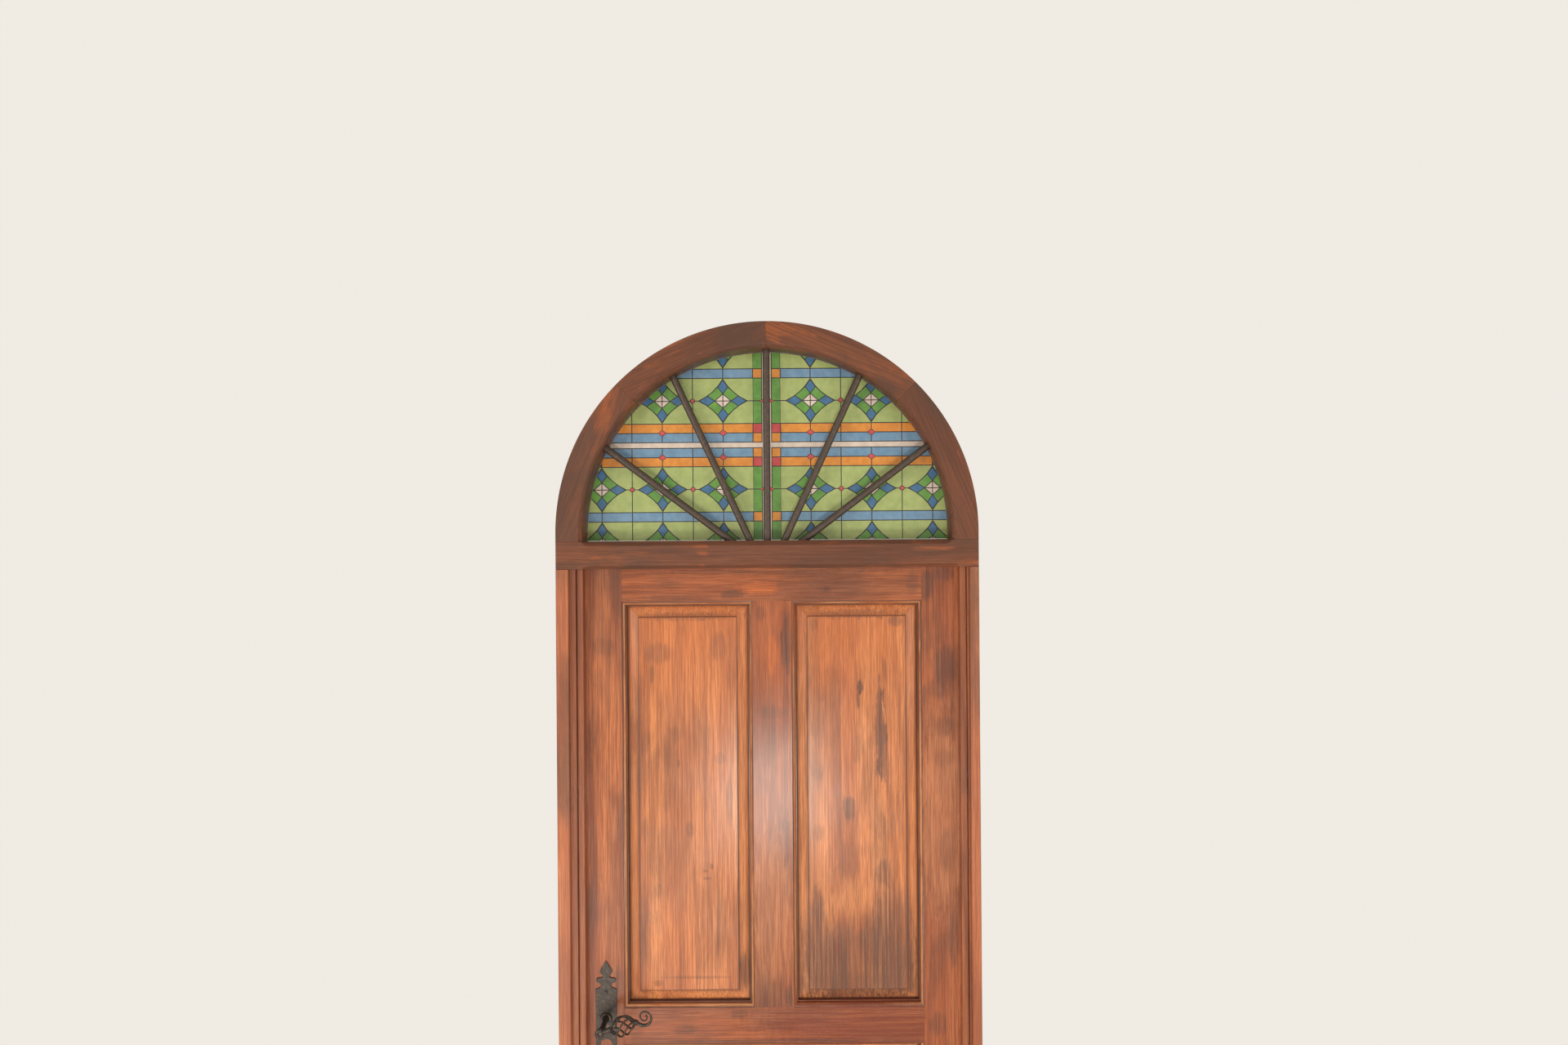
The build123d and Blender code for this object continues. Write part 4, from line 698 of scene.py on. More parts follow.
class Draft:
    """Gathers the vertices and faces of one mesh."""

    def __init__(self) -> None:
        """Starts with nothing."""
        self.points: list[Vector] = []
        self.faces: list[tuple[int, ...]] = []

    def loft(self, rings: Sequence[Sequence[Vector]], capped: bool = True) -> None:
        """Joins rings of points, each with the same count, into a closed skin.

        Args:
            rings: The rings from one end to the other.
            capped: True to close both ends.
        """
        start = len(self.points)
        count = len(rings[0])
        for ring in rings:
            self.points.extend(ring)
        for row in range(len(rings) - 1):
            for step in range(count):
                low = start + row * count
                after = (step + 1) % count
                self.faces.append((low + step, low + after, low + count + after, low + count + step))
        if capped:
            self.faces.append(tuple(start + step for step in reversed(range(count))))
            last = start + (len(rings) - 1) * count
            self.faces.append(tuple(last + step for step in range(count)))

    def rod(self, path: Sequence[Vector], radii: Sequence[float], sides: int = 10) -> None:
        """Sweeps a round rod of changing radius along a path, without twist.

        Args:
            path: Its middle line.
            radii: Its radius at each point.
            sides: How many points go round it.
        """
        rings = []
        side = None
        for index, point in enumerate(path):
            before = path[max(index - 1, 0)]
            after = path[min(index + 1, len(path) - 1)]
            along = (after - before).normalized()
            if side is None:
                side = along.orthogonal().normalized()
            side = (side - along * side.dot(along)).normalized()
            up = along.cross(side)
            rings.append([
                point + (side * math.cos(turn) + up * math.sin(turn)) * radii[index] for turn in circle(sides)
            ])
        self.loft(rings)

    def piece(
        self, name: str, material: Material, smooth: bool = True, round_off: int = 0
    ) -> Object:
        """Makes the object.

        Args:
            name: The piece's name.
            material: Its material.
            smooth: True for smooth shading.
            round_off: Subdivision levels.

        Returns:
            The new object.
        """
        mesh = bpy.data.meshes.new(name)
        mesh.from_pydata([tuple(point) for point in self.points], [], self.faces)
        mesh.validate()
        mesh.materials.append(material)
        for face in mesh.polygons:
            face.use_smooth = smooth
        made = placed(name, mesh)
        if round_off:
            rounding = made.modifiers.new("round_off", "SUBSURF")
            rounding.levels = round_off
            rounding.render_levels = round_off
        return made


@dataclass
class BasketLever:
    """A forged lever: neck, curled root, basket of twisted rods and end scroll. Profiles are in mm."""

    name: str
    replaced: str
    side: float
    axis_x: float = -353 * MM
    axis_z: float = 1038 * MM
    depth: float = 73.5 * MM
    rise: float = 16.0
    steps: int = 44
    # Neck: how far out, and its radius
    neck_profile: Profile = (
        (17, 7.4), (28.5, 7.4), (31, 7.3), (33, 6.0), (44, 5.4), (58, 5.6), (66, 7.2), (74, 7.8), (79, 6.6), (81, 3)
    )
    neck_sides: int = 20
    # Curl: its middle across, up and out, and its turn, reach and radius from end to end
    curl_middle: tuple[float, float, float] = (-2, -3, 2)
    curl_turn: tuple[float, float] = (60, 530)
    curl_reach: tuple[float, float] = (8.6, 2.2)
    curl_radius: tuple[float, float] = (4.6, 2.4)
    # Bar: how far along, and its radius
    bar_profile: Profile = (
        (-3, 4.0), (0, 5.4), (6, 5.3), (12, 4.6), (16, 4.4), (18, 6.0), (20, 6.6), (22, 6.0), (25, 4.0)
    )
    bar_sides: int = 16
    basket_start: float = 21 * MM
    basket_length: float = 52 * MM
    basket_radius: float = 18.8 * MM
    basket_fullness: float = 0.85
    end_radius: float = 3.4 * MM
    rod_radius: float = 2.05 * MM
    rods: int = 6
    rod_sides: int = 8
    twist: float = 165.0
    # Bead: how far past the basket, and its radius
    bead_profile: Profile = ((-3, 4.0), (-1, 6.2), (1, 6.5), (3, 5.6), (5, 4.0), (8, 3.4))
    # Tail: where it leaves the bead, points level and plumb, then half turns of radius, start and stop
    tail_root: float = 2 * MM
    tail_points: Profile = ((82, 1.4), (86.5, 0.2))
    scroll_start: float = 90.7 * MM
    scroll_base: float = 14 * MM
    scroll_turns: tuple[tuple[float, float, float], ...] = ((14.3, -90, 90), (9.3, 90, 270), (5.5, 270, 430))
    scroll_steps: int = 14
    # The tail's radius: at its root, less what it loses over the first steps, less what it loses evenly
    tail_radius: tuple[float, float, float] = (3.9, 2.0, 0.2)
    tip_radii: tuple[float, float, float] = (2.1, 2.5, 1.6)

    def at(self, along: float, up: float = 0.0, out: float = 0.0) -> Vector:
        """A point in the lever's own directions, on its tilted middle line."""
        turn = math.radians(self.rise)
        return Vector((
            self.axis_x + along * math.cos(turn) - up * math.sin(turn),
            self.side * (self.depth + out),
            self.axis_z + along * math.sin(turn) + up * math.cos(turn),
        ))

    def level(self, across: float, up: float, out: float = 0.0) -> Vector:
        """A point measured level and plumb from the spindle's line."""
        return Vector((self.axis_x + across, self.side * (self.depth + out), self.axis_z + up))

    def neck(self, draft: Draft) -> None:
        """The turned neck, from inside the boss to the lever."""
        rings = [
            [
                Vector((self.axis_x, self.side * out * MM, self.axis_z)) + spoke(turn, radius * MM)
                for turn in circle(self.neck_sides)
            ]
            for out, radius in self.neck_profile
        ]
        if self.side > 0:
            rings = [list(reversed(ring)) for ring in rings]
        draft.loft(rings)

    def curl(self, draft: Draft) -> None:
        """The flattened curl at the lever's root, in front of the neck."""
        across, up, out = self.curl_middle
        path = []
        radii = []
        for step in range(self.steps):
            share = step / (self.steps - 1)
            turn = math.radians(between(self.curl_turn, share))
            reach = between(self.curl_reach, share)
            path.append(self.level(
                (across + reach * math.cos(turn)) * MM, (up + reach * math.sin(turn)) * MM, out * MM
            ))
            radii.append(between(self.curl_radius, share) * MM)
        draft.rod(path, radii)

    def turned(self, draft: Draft, start: float, profile: Profile) -> None:
        """A round bar along the lever, turned to a profile from a start."""
        path = [self.at(start + along * MM) for along, _ in profile]
        draft.rod(path, [radius * MM for _, radius in profile], self.bar_sides)

    def basket(self, draft: Draft) -> None:
        """The twisted rods, bulging round an empty middle."""
        for rod in range(self.rods):
            path = []
            for step in range(self.steps):
                share = step / (self.steps - 1)
                bulge = math.sin(math.pi * share) ** self.basket_fullness
                radius = between((self.end_radius, self.basket_radius), bulge)
                turn = math.radians(360 * rod / self.rods + self.twist * share)
                path.append(self.at(
                    self.basket_start + self.basket_length * share,
                    radius * math.sin(turn),
                    radius * math.cos(turn),
                ))
            draft.rod(path, [self.rod_radius] * self.steps, self.rod_sides)

    def tail(self, draft: Draft) -> None:
        """The tapering tail and the scroll."""
        path = [self.at(self.basket_start + self.basket_length + self.tail_root)]
        path += [self.level(across * MM, self.scroll_base + up * MM) for across, up in self.tail_points]
        foot = Vector((self.scroll_start, 0.0, self.scroll_base))
        for radius, start, stop in self.scroll_turns:
            centre = foot - spoke(math.radians(start), radius * MM)
            for step in range(self.scroll_steps):
                turn = math.radians(between((start, stop), step / (self.scroll_steps - 1)))
                foot = centre + spoke(turn, radius * MM)
                path.append(self.level(foot.x, foot.z))
        root, early, even = self.tail_radius
        radii = [
            (root - early * min(index / self.scroll_steps, 1.0) - even * index / len(path)) * MM
            for index in range(len(path))
        ]
        radii[-3:] = [radius * MM for radius in self.tip_radii]
        draft.rod(path, radii)

    def build(self, finish: Material) -> Object:
        """Builds the lever and puts it in the place of its CAD node.

        Args:
            finish: Its material.

        Returns:
            The lever.
        """
        draft = Draft()
        self.neck(draft)
        self.curl(draft)
        self.turned(draft, 0.0, self.bar_profile)
        self.basket(draft)
        self.turned(draft, self.basket_start + self.basket_length, self.bead_profile)
        self.tail(draft)
        made = draft.piece(self.name, finish, round_off=1)
        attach(made, "handle")
        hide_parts(self.replaced)
        log.info("built %s: %d points", self.name, len(draft.points))
        return made


# Marks of each board: see Patch. Most are stains and wood tones; the large dark red marks at the top of the upper
# boards are painted shade, the large lighter marks in the middle of the leaf are painted sheen, and the long line
# along the top rail's upper edge is the transom's painted shadow
MARKS: dict[str, tuple[tuple[Any, ...], ...]] = {
    "upper_left_panel": (
        # the first mark: painted shade, the top of the leaf darker and redder
        (-174, 1900, 190, 230, 0.6, 0.4, (0.6, 0.165, 0.04), 0.9), (-237, 1818, 35.2, 24.6, 0.4),
        (-251, 1773, 5.3, 22.9, 0.65), (-107, 1830, 17.6, 35.2, 0.45), (-201, 1642, 14.1, 22.9, 0.4),
        (-195, 1580, 4.4, 8.8, 0.7), (-265, 1625, 10.6, 26.4, 0.4), (-86, 1500, 7.9, 66.9, 0.45),
        (-105, 1590, 15.8, 14.1, 0.3), (-171, 1438, 12.3, 17.6, 0.4), (-126, 1358, 4.4, 7, 0.75),
        (-138, 1348, 7, 3.5, 0.55), (-135, 1332, 10.6, 3.9, 0.65), (-239, 1308, 9.7, 19.4, 0.4),
        (-108, 1237, 16.7, 88, 0.42), (-268, 1438, 9.7, 29.9, 0.45), (-270, 1220, 9.7, 88, 0.35),
        (-161, 1119, 91.5, 3.9, 0.45), (-242, 1107, 12.3, 7.9, 0.55), (-54, 1131, 15.8, 42.2, 0.75),
        (-168, 1897, 109.1, 10.6, 0.5, 0.9),
    ),
    "upper_right_panel": (
        # the first mark: painted shade, the top of the leaf darker and redder
        (190, 1900, 190, 210, 0.5, 0.4, (0.6, 0.165, 0.04), 0.9),
        # the first mark: painted sheen, lighter in the middle of the field
        (171, 1285, 52.8, 60, 0.4, 0.5, (0.82, 0.34, 0.12), 0.9), (274, 1885, 17.6, 15, 0.7, 0.3),
        (98, 1878, 10.6, 17.6, 0.4), (197, 1740, 6.5, 17.6, 0.95, 0.7, None, 0.3),
        (193, 1713, 3.5, 21.1, 0.7, 0.7, None, 0.3), (240, 1650, 10.5, 85, 0.88, 1.0, None, 0.25),
        (246, 1600, 9, 70, 0.85, 1.0, None, 0.3), (250, 1780, 5.3, 26.4, 0.4),
        (172, 1481, 15, 26, 0.85, 0.9, None, 0.4), (191, 1608, 14.1, 35.2, 0.3), (247, 1340, 24.6, 35.2, 0.65),
        (241, 1440, 15.8, 33.4, 0.4), (104, 1555, 15.8, 14.1, 0.35), (105, 1429, 14.1, 22.9, 0.4),
        (104, 1270, 14.1, 52.8, 0.5), (262, 1200, 60, 125, 0.75, 0.3, None, 0.6),
        (103, 1180, 40, 120, 0.66, 0.3, None, 0.6), (190, 1120, 160, 135, 0.88, 0.3, None, 0.6),
        (180, 1100, 150, 30, 0.5), (186, 1900, 105.6, 10.6, 0.5, 0.9),
    ),
    "muntin": (
        # the first mark: painted shade, the top of the muntin darker and redder
        (8, 1900, 60, 260, 0.5, 0.4, (0.46, 0.115, 0.026), 0.9), (8, 1818, 15.8, 45.6, 0.6, 0.5, (0.62, 0.15, 0.03)),
        (-16, 1902, 12.3, 19.3, 0.45), (39, 1844, 14, 73.7, 0.85), (7, 1691, 38.6, 15.8, 0.3),
        (31, 1446, 14, 15.8, 0.35), (4, 1142, 42.1, 70.2, 0.2), (39, 1081, 10.5, 28.1, 0.5),
        # the first mark: painted sheen, lighter in the middle of the muntin
        (4, 1260, 50, 200, 0.45, 0.4, (0.68, 0.26, 0.1)), (10, 1060, 50, 70, 0.5),
    ),
    "lock_stile": (
        (-352, 1834, 31.6, 21, 0.35), (-374, 1662, 12.3, 49.1, 0.3), (-327, 1110, 10.5, 45.6, 0.6),
        (-337, 1974, 24.6, 24.6, 0.3),
    ),
    "hinge_stile": (
        # the first mark: painted sheen, lighter in the middle of the stile
        (372, 1480, 60, 260, 0.55, 0.4, (0.62, 0.23, 0.09)), (340, 1962, 21, 42.1, 0.8), (372, 1985, 38.6, 15.8, 0.5),
        (381, 1789, 35.1, 45.6, 0.65), (363, 1740, 22.8, 28.1, 0.55), (335, 1727, 5.3, 26.3, 0.55),
        (378, 1659, 26.3, 24.6, 0.5), (376, 1590, 28.1, 21, 0.3), (382, 1394, 21, 59.6, 0.35),
        (394, 1201, 12.3, 66.7, 0.45), (361, 1019, 21, 28.1, 0.5),
    ),
    "top_rail": (
        (-18, 1958, 49.1, 15.8, 0.65, 0.5, (0.62, 0.15, 0.03)), (-77, 1944, 29.8, 8.8, 0.8),
        (126, 1954, 6.3, 4.9, 0.9, 0.2), (126, 1954, 14, 8.8, 0.3), (309, 1970, 14, 31.6, 0.45),
        # the last mark: the transom's painted shadow along the top of the rail
        (-197, 1939, 105.2, 5.3, 0.45), (123, 1936, 70.2, 4.4, 0.35), (0, 1993, 315.7, 6.1, 0.5),
    ),
    "lock_rail": (
        (-68, 1043, 24.6, 8.8, 0.5), (-182, 1009, 28.1, 12.3, 0.6), (50, 1035, 120, 30, 0.5),
        (190, 1020, 230, 80, 0.85, 0.3, (0.19, 0.036, 0.012), 0.6), (28, 984, 333.3, 5.3, 0.5),
        (-288, 1009, 17.5, 21, 0.35),
    ),
}
PATCHES = {board: tuple(Patch(*row) for row in rows) for board, rows in MARKS.items()}


@dataclass
class Leaf:
    """The panelled leaf: its members and panels, dressed board by board."""

    ease: float = 0.7 * MM
    member_finish: TimberFinish = TimberFinish(
        "member_lacquer", light=(0.55, 0.172, 0.055), deep=(0.36, 0.092, 0.027), ring=(0.16, 0.038, 0.014),
        stain=(0.09, 0.036, 0.022), stain_size=9.0, stain_cover=0.545, stain_soft=0.13, stain_share=0.52,
        ring_share=0.45, streak_share=0.5,
    )
    panel_finish: TimberFinish = TimberFinish(
        "panel_lacquer", light=(0.83, 0.32, 0.11), deep=(0.56, 0.17, 0.05), ring=(0.23, 0.06, 0.021),
        stain=(0.125, 0.052, 0.03), stain_size=10.0, stain_cover=0.57, stain_soft=0.14, stain_share=0.46,
        ring_share=0.42, streak_share=0.48,
    )
    openings: tuple[Opening, ...] = (
        Opening("upper_left_panel", -0.314, -0.034, 1.057, 1.9295, Strips(-0.1957, 0.0358)),
        Opening("upper_right_panel", 0.05, 0.33, 1.057, 1.9295, Strips(0.1211, 0.0337)),
        Opening("lower_panel", -0.314, 0.33, 0.18, 0.98, Strips(0.0, 0.04)),
    )
    # On the members: dirt with painted shade at the arrises, a painted highlight along the moulding beside it, dirt
    # with painted shade in the panel groove
    member_trims: tuple[Trim, ...] = (
        Trim(1.5 * MM, 3 * MM, 0.85, 0.2), Trim(4.5 * MM, 2.8 * MM, 0.7, 0.7, (0.74, 0.33, 0.13)),
        Trim(9.5 * MM, 4 * MM, 0.95, 0.0),
    )
    # On the panels: dirt with painted shade in the groove and at the field's edge, its broken outer side, and a
    # painted highlight on the slope
    panel_trims: tuple[Trim, ...] = (
        Trim(9.5 * MM, 5 * MM, 0.95, 0.0), Trim(34 * MM, 3 * MM, 0.95, 0.0), Trim(31 * MM, 7 * MM, 0.35, 1.0),
        Trim(22 * MM, 13 * MM, 0.3, 0.8, (0.84, 0.34, 0.14)),
    )

    def dress_members(self) -> None:
        """Stiles and muntin upright, rails level, with dirt, painted shade and a painted highlight along the
        mouldings.
        """
        trims = [(opening, trim) for trim in self.member_trims for opening in self.openings]
        uprights = [(name, Grain.UPRIGHT) for name in ("lock_stile", "hinge_stile", "muntin")]
        rails = [(name, Grain.LEVEL) for name in ("top_rail", "lock_rail", "bottom_rail")]
        for number, (name, grain) in enumerate(uprights + rails):
            finish = self.member_finish.material(name, grain, 1.0 + number, PATCHES.get(name, ()), trims)
            dress(name, finish, self.ease)

    def dress_panels(self) -> None:
        """Raised panels, with dirt and painted shade round their fields and in their grooves, and a painted highlight
        on their slopes.
        """
        for number, opening in enumerate(self.openings):
            name = opening.panel
            trims = [(opening, trim) for trim in self.panel_trims]
            finish = self.panel_finish.material(
                name, Grain.UPRIGHT, 10.0 + number, PATCHES.get(name, ()), trims, opening.strips
            )
            dress(name, finish, self.ease)


@dataclass
class Surround:
    """The frame: jambs, cover strips, transom, arch and beads."""

    ease: float = 0.8 * MM
    arch_finish: TimberFinish = TimberFinish(
        "arch_lacquer", light=(0.25, 0.08, 0.033), deep=(0.165, 0.06, 0.03), ring=(0.09, 0.034, 0.02),
        stain=(0.085, 0.045, 0.03), stain_size=9.0, stain_cover=0.52, rub=(0.42, 0.11, 0.03), rub_share=0.6,
        rings=7.0, ring_share=0.35, streak_share=0.5, fibre_share=0.3, rough=0.5, specular=0.24, coat=0.1,
    )
    jamb_finish: TimberFinish = TimberFinish(
        "jamb_lacquer", light=(0.42, 0.135, 0.05), deep=(0.3, 0.09, 0.034), ring=(0.19, 0.055, 0.024),
        stain=(0.11, 0.045, 0.027), stain_cover=0.58,
    )
    cover_finish: TimberFinish = TimberFinish(
        "cover_lacquer", light=(0.6, 0.2, 0.075), deep=(0.43, 0.125, 0.045), ring=(0.25, 0.07, 0.03),
        stain=(0.13, 0.055, 0.03), stain_cover=0.55,
    )

    def dress(self) -> None:
        """Dresses every board of the frame."""
        arch = (
            ("arch_lower_left", Grain.ARCH_LOWER_LEFT), ("arch_upper_left", Grain.ARCH_UPPER_LEFT),
            ("arch_upper_right", Grain.ARCH_UPPER_RIGHT), ("arch_lower_right", Grain.ARCH_LOWER_RIGHT),
            ("transom_bar", Grain.LEVEL),
        )
        for seed, (name, grain) in enumerate(arch):
            dress(name, self.arch_finish.material(name, grain, 20.0 + seed), self.ease)
        inner = self.arch_finish.material("inner", Grain.LEVEL, 30.0)
        for name in ("arch_tongues", "arch_bead", "bottom_bead"):
            dress(name, inner)
        for seed, name in enumerate(("left_jamb", "right_jamb")):
            dress(name, self.jamb_finish.material(name, Grain.UPRIGHT, 40.0 + seed), self.ease)
        for seed, name in enumerate(("left_cover_strip", "right_cover_strip")):
            dress(name, self.cover_finish.material(name, Grain.UPRIGHT, 44.0 + seed), self.ease)


@dataclass
class Fanlight:
    """The glass, the film's colours and the iron bars."""

    films: tuple[FilmFinish, ...] = (
        FilmFinish("film_lines", (0.02, 0.016, 0.012), (0.012, 0.01, 0.008), 0.5),
        FilmFinish("film_pale_green", (0.4, 0.46, 0.16), (0.29, 0.36, 0.11)),
        FilmFinish("film_green", (0.15, 0.34, 0.055), (0.08, 0.23, 0.03)),
        FilmFinish("film_blue", (0.055, 0.17, 0.32), (0.03, 0.105, 0.22)),
        FilmFinish("film_cream", (0.72, 0.6, 0.5), (0.55, 0.45, 0.37)),
        FilmFinish("film_light_blue", (0.18, 0.31, 0.44), (0.11, 0.22, 0.34)),
        FilmFinish("film_orange", (0.74, 0.29, 0.04), (0.56, 0.19, 0.02)),
        FilmFinish("film_red", (0.62, 0.085, 0.08), (0.45, 0.04, 0.045)),
    )
    bar_finish: IronFinish = IronFinish(
        "bar_iron", black=(0.06, 0.04, 0.028), worn=(0.13, 0.085, 0.055), wear=0.6, size=420.0, metal=0.15,
        rough=0.45, relief=0.0003,
    )

    arch_middle: float = 2077 * MM
    film_middle: float = 190.5 * MM
    film_face: float = 3.4 * MM
    window: float = 389.0 * MM
    star_columns: tuple[float, ...] = (95.2 * MM, 227.6 * MM, 360.0 * MM)
    star_rises: tuple[float, ...] = (96.15 * MM, 215.35 * MM)
    half_cell: float = 66.2 * MM
    band_edge: float = 26.45 * MM
    # Jewels: half width, half height and corners
    middle_jewel: tuple[float, float, int] = (15.6 * MM, 6.6 * MM, 4)
    round_jewel: tuple[float, float, int] = (4.0 * MM, 4.0 * MM, 20)
    band_jewel: tuple[float, float, int] = (7.6 * MM, 5.9 * MM, 4)
    # Rims: width, what a pointed one has more, how far they lap over the jewel, and height
    rim: float = 1.6 * MM
    pointed: float = 1.35
    lap: float = 0.3 * MM
    rim_height: float = 0.22 * MM
    # The print's copy: how deep its front lies, and its thickness
    print_front: float = 3.85 * MM
    print_depth: float = 0.1 * MM

    def jewels(self) -> list[tuple[float, float, float, float, int]]:
        """Every red jewel's middle, half width, half height and corners, also those past the window's edge."""
        spots = []
        for up in (-1, 1):
            for rise in self.star_rises:
                level = self.film_middle + up * rise
                spots.append((0.0, level, *self.middle_jewel))
                for side in (-1, 1):
                    spots += [(side * (x + self.half_cell), level, *self.round_jewel) for x in self.star_columns[:-1]]
            level = self.film_middle + up * self.band_edge
            for side in (-1, 1):
                spots += [(side * x, level, *self.band_jewel) for x in self.star_columns]
        return spots

    def rims(self) -> None:
        """Dark rims round the red jewels, thin trim laid on the film."""
        draft = Draft()
        back, front = self.film_face, self.film_face - self.rim_height
        for x, rise, reach, height, corners in self.jewels():
            if math.hypot(x, rise) > self.window - reach or rise < height:
                continue
            pointed = corners == self.middle_jewel[2]
            grown = self.rim * (self.pointed if pointed else 1.0)
            rings = []
            for extra, depth in ((-self.lap, back), (-self.lap, front), (grown, front), (grown, back)):
                tall = height + (extra * height / reach if pointed else extra)
                middle = Vector((x, depth, self.arch_middle + rise))
                rings.append([
                    middle + Vector(((reach + extra) * math.cos(turn), 0.0, tall * math.sin(turn)))
                    for turn in circle(corners)
                ])
            draft.loft(rings, capped=False)
        made = draft.piece("jewel_rims", self.films[0].material(), smooth=False)
        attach(made, "frame")
        log.info("built jewel_rims: %d points", len(draft.points))

    def seen_from_behind(self, name: str, finish: Material) -> None:
        """Sets a thin copy of a colour's fields in the glass's front face, so that the print shows from behind.

        Args:
            name: The film's node.
            finish: Its material.
        """
        source = cad(name)
        places = [source.matrix_world @ vertex.co for vertex in source.data.vertices]
        front = min(place.y for place in places)
        depth = max(place.y for place in places) - front
        draft = Draft()
        for place in places:
            sunk = self.print_front + (place.y - front) / depth * self.print_depth
            draft.points.append(Vector((place.x, sunk, place.z)))
        draft.faces = [tuple(face.vertices) for face in source.data.polygons]
        made = draft.piece(f"{name}_rear", finish, smooth=False)
        made.modifiers.new("weld", "WELD").merge_threshold = WELD_GAP
        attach(made, "frame")

    def dress(self) -> None:
        """Dresses the film, the glass and the bars."""
        self.rims()
        for finish in self.films:
            material = finish.material()
            dress(finish.name, material)
            if finish.name != "film_lines":
                self.seen_from_behind(finish.name, material)
        iron = self.bar_finish.material()
        for name in ("far_left", "left", "middle", "right", "far_right"):
            dress(f"fan_bar_{name}", iron)
        dress("fanlight_glass", self.glass())

    @staticmethod
    def glass() -> Material:
        """Clear rolled glass behind the film."""
        made, bench, shader, here = fresh_material("fanlight_glass")
        ripple = bench.noise(here, GLASS_RIPPLE)
        bench.fill(shader, {
            "Base Color": (0.9, 0.95, 0.92), "Transmission Weight": 0.95, "IOR": 1.5,
            "Roughness": bench.span(ripple, GLASS_RIPPLE.low, GLASS_RIPPLE.high, 0.02, 0.07),
            "Normal": bumped(bench, ripple, 0.4 * MM),
        })
        return made


@dataclass
class Ironmongery:
    """Handle plates, levers, lock, strike and hinges."""

    iron: IronFinish = IronFinish(
        "forged_iron", black=(0.045, 0.038, 0.034), worn=(0.18, 0.11, 0.055), wear=0.55, size=120.0
    )
    steel: PlatedFinish = PlatedFinish("lock_steel", (0.55, 0.54, 0.5), (0.44, 0.42, 0.38))
    brass: PlatedFinish = PlatedFinish("bolt_brass", (0.65, 0.5, 0.24), (0.4, 0.29, 0.14))
    bronzed: PlatedFinish = PlatedFinish("hinge_bronze", (0.3, 0.24, 0.18), (0.15, 0.11, 0.08), 0.42)

    def dress(self) -> None:
        """Dresses the metal nodes and builds both levers."""
        iron = self.iron.material()
        for name in ("front_plate", "rear_plate"):
            dress(name, iron, 0.5 * MM)
        for name in ("plate_screws", "front_lever", "rear_lever"):
            dress(name, iron)
        BasketLever("forged_lever_front", "front_lever", -1.0).build(iron)
        BasketLever("forged_lever_rear", "rear_lever", 1.0).build(iron)
        hinges = [f"{level}_hinge_{half}_leaf" for level in ("lower", "middle", "upper") for half in ("frame", "door")]
        for finish, names in (
            (self.steel, (
                "strike_plate", "strike_screws", "lock_faceplate", "faceplate_screws", "lock_case", "lock_follower",
                "spindle",
            )),
            (self.brass, ("latch_bolt", "deadbolt")),
            (self.bronzed, ("frame_hinge_screws", "door_hinge_screws", "hinge_pins", *hinges)),
        ):
            material = finish.material()
            for name in names:
                dress(name, material)


@dataclass(frozen=True)
class Lamp:
    """A soft square lamp: where it stands, the point that it faces, its side in metres and its power in watts."""

    name: str
    place: tuple[float, float, float]
    aim: tuple[float, float, float]
    size: float
    power: float
    colour: Colour = (1.0, 0.93, 0.84)

    def build(self) -> None:
        """Adds it to the scene."""
        data = bpy.data.lights.new(self.name, "AREA")
        data.shape = "SQUARE"
        data.size = self.size
        data.energy = self.power
        data.color = self.colour
        made = placed(self.name, data)
        made.location = self.place
        made.rotation_euler = (Vector(self.aim) - Vector(self.place)).to_track_quat("-Z", "Y").to_euler()


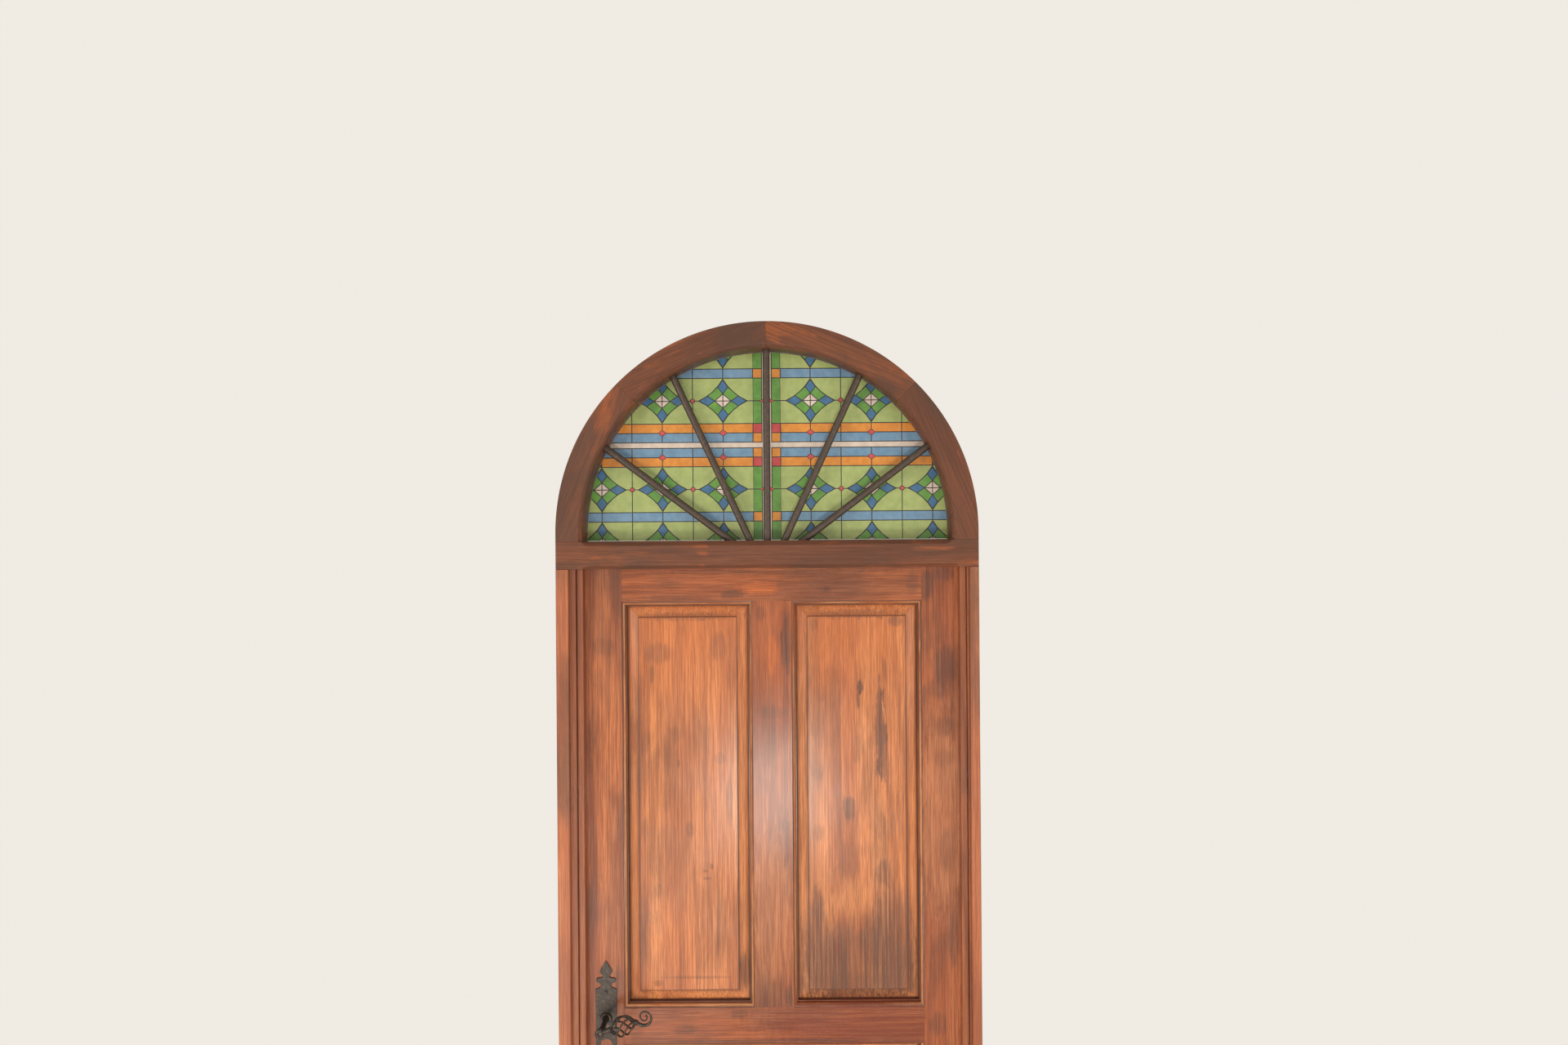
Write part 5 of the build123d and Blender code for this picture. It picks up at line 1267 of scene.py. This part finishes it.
@dataclass
class Studio:
    """The pale floor, the lights, the plain background and the camera."""

    camera_place: tuple[float, float, float] = (0.036, -1.775, 2.098)
    roll: float = 0.42
    focal_pixels: float = 1000.0
    image_width: float = 1920.0
    film_width: float = 36.0
    wall_tone: Colour = (0.87, 0.83, 0.77)
    sky_tone: Colour = (1.0, 0.985, 0.96)
    floor_tone: Colour = (0.84, 0.79, 0.72)
    daylight: float = 0.52
    floor_radius: float = 1.5
    floor_sides: int = 96
    lamps: tuple[Lamp, ...] = (
        Lamp("side_left", (-3.2, -2.95, 2.0), (0.0, 0.0, 1.2), 2.0, 64.0),
        Lamp("side_right", (3.2, -2.95, 1.6), (0.0, 0.0, 1.0), 2.0, 41.0),
        Lamp("low_front", (-0.04, -3.8, 0.28), (0.0, 0.0, 1.5), 0.68, 54.0),
        Lamp("low_left", (-0.86, -2.65, -0.19), (-0.3, 0.0, 1.1), 1.0, 11.0),
    )

    def floor(self) -> None:
        """A plain pale round floor, small enough to stay below the photograph's lower edge."""
        mesh = bpy.data.meshes.new("studio_floor")
        rim = [
            (self.floor_radius * math.cos(turn), self.floor_radius * math.sin(turn), 0.0)
            for turn in circle(self.floor_sides)
        ]
        mesh.from_pydata(rim, [], [tuple(range(len(rim)))])
        made = placed("studio_floor", mesh)
        finish, bench, shader, _ = fresh_material("pale_floor")
        bench.fill(shader, {"Base Color": self.floor_tone, "Roughness": 0.6})
        mesh.materials.append(finish)

    def world(self) -> None:
        """An even sky for light, and a plain wall tone for what is seen or mirrored."""
        world = bpy.data.worlds.new("studio_world")
        world.use_nodes = True
        bpy.context.scene.world = world
        world.node_tree.nodes.clear()
        bench = Bench(world.node_tree)
        rays = bench.node("LightPath").outputs
        seen = bench.math("MAXIMUM", rays["Is Camera Ray"], rays["Is Glossy Ray"])
        seen = bench.math("MAXIMUM", seen, rays["Is Transmission Ray"])
        light, wall = (
            bench.fill(bench.node("Background"), {"Color": tone, "Strength": strength}).outputs[0]
            for tone, strength in ((self.sky_tone, self.daylight), (self.wall_tone, 1.0))
        )
        either = bench.fill(bench.node("MixShader"), {0: seen, 1: light, 2: wall})
        bench.fill(bench.node("OutputWorld"), {"Surface": either.outputs[0]})

    def camera(self) -> None:
        """The camera of the photograph: level, wide, a little to the right of the middle and rolled by a hair."""
        data = bpy.data.cameras.new("photo_camera")
        data.sensor_width = self.film_width
        data.lens = self.film_width * self.focal_pixels / self.image_width
        data.clip_end = 100.0
        made = placed("photo_camera", data)
        made.location = self.camera_place
        made.rotation_euler = (math.radians(90.0), math.radians(self.roll), 0.0)
        bpy.context.scene.camera = made

    def build(self) -> None:
        """Builds the studio."""
        bpy.context.scene.view_settings.view_transform = "Standard"
        self.floor()
        self.world()
        for lamp in self.lamps:
            lamp.build()
        self.camera()
        log.info("built the studio")


def main() -> None:
    """Builds the studio and dresses the doorset."""
    logging.basicConfig(level=logging.INFO, format="%(name)s: %(message)s")
    Studio().build()
    Surround().dress()
    Fanlight().dress()
    leaf = Leaf()
    leaf.dress_members()
    leaf.dress_panels()
    Ironmongery().dress()


if __name__ == "__main__":
    main()
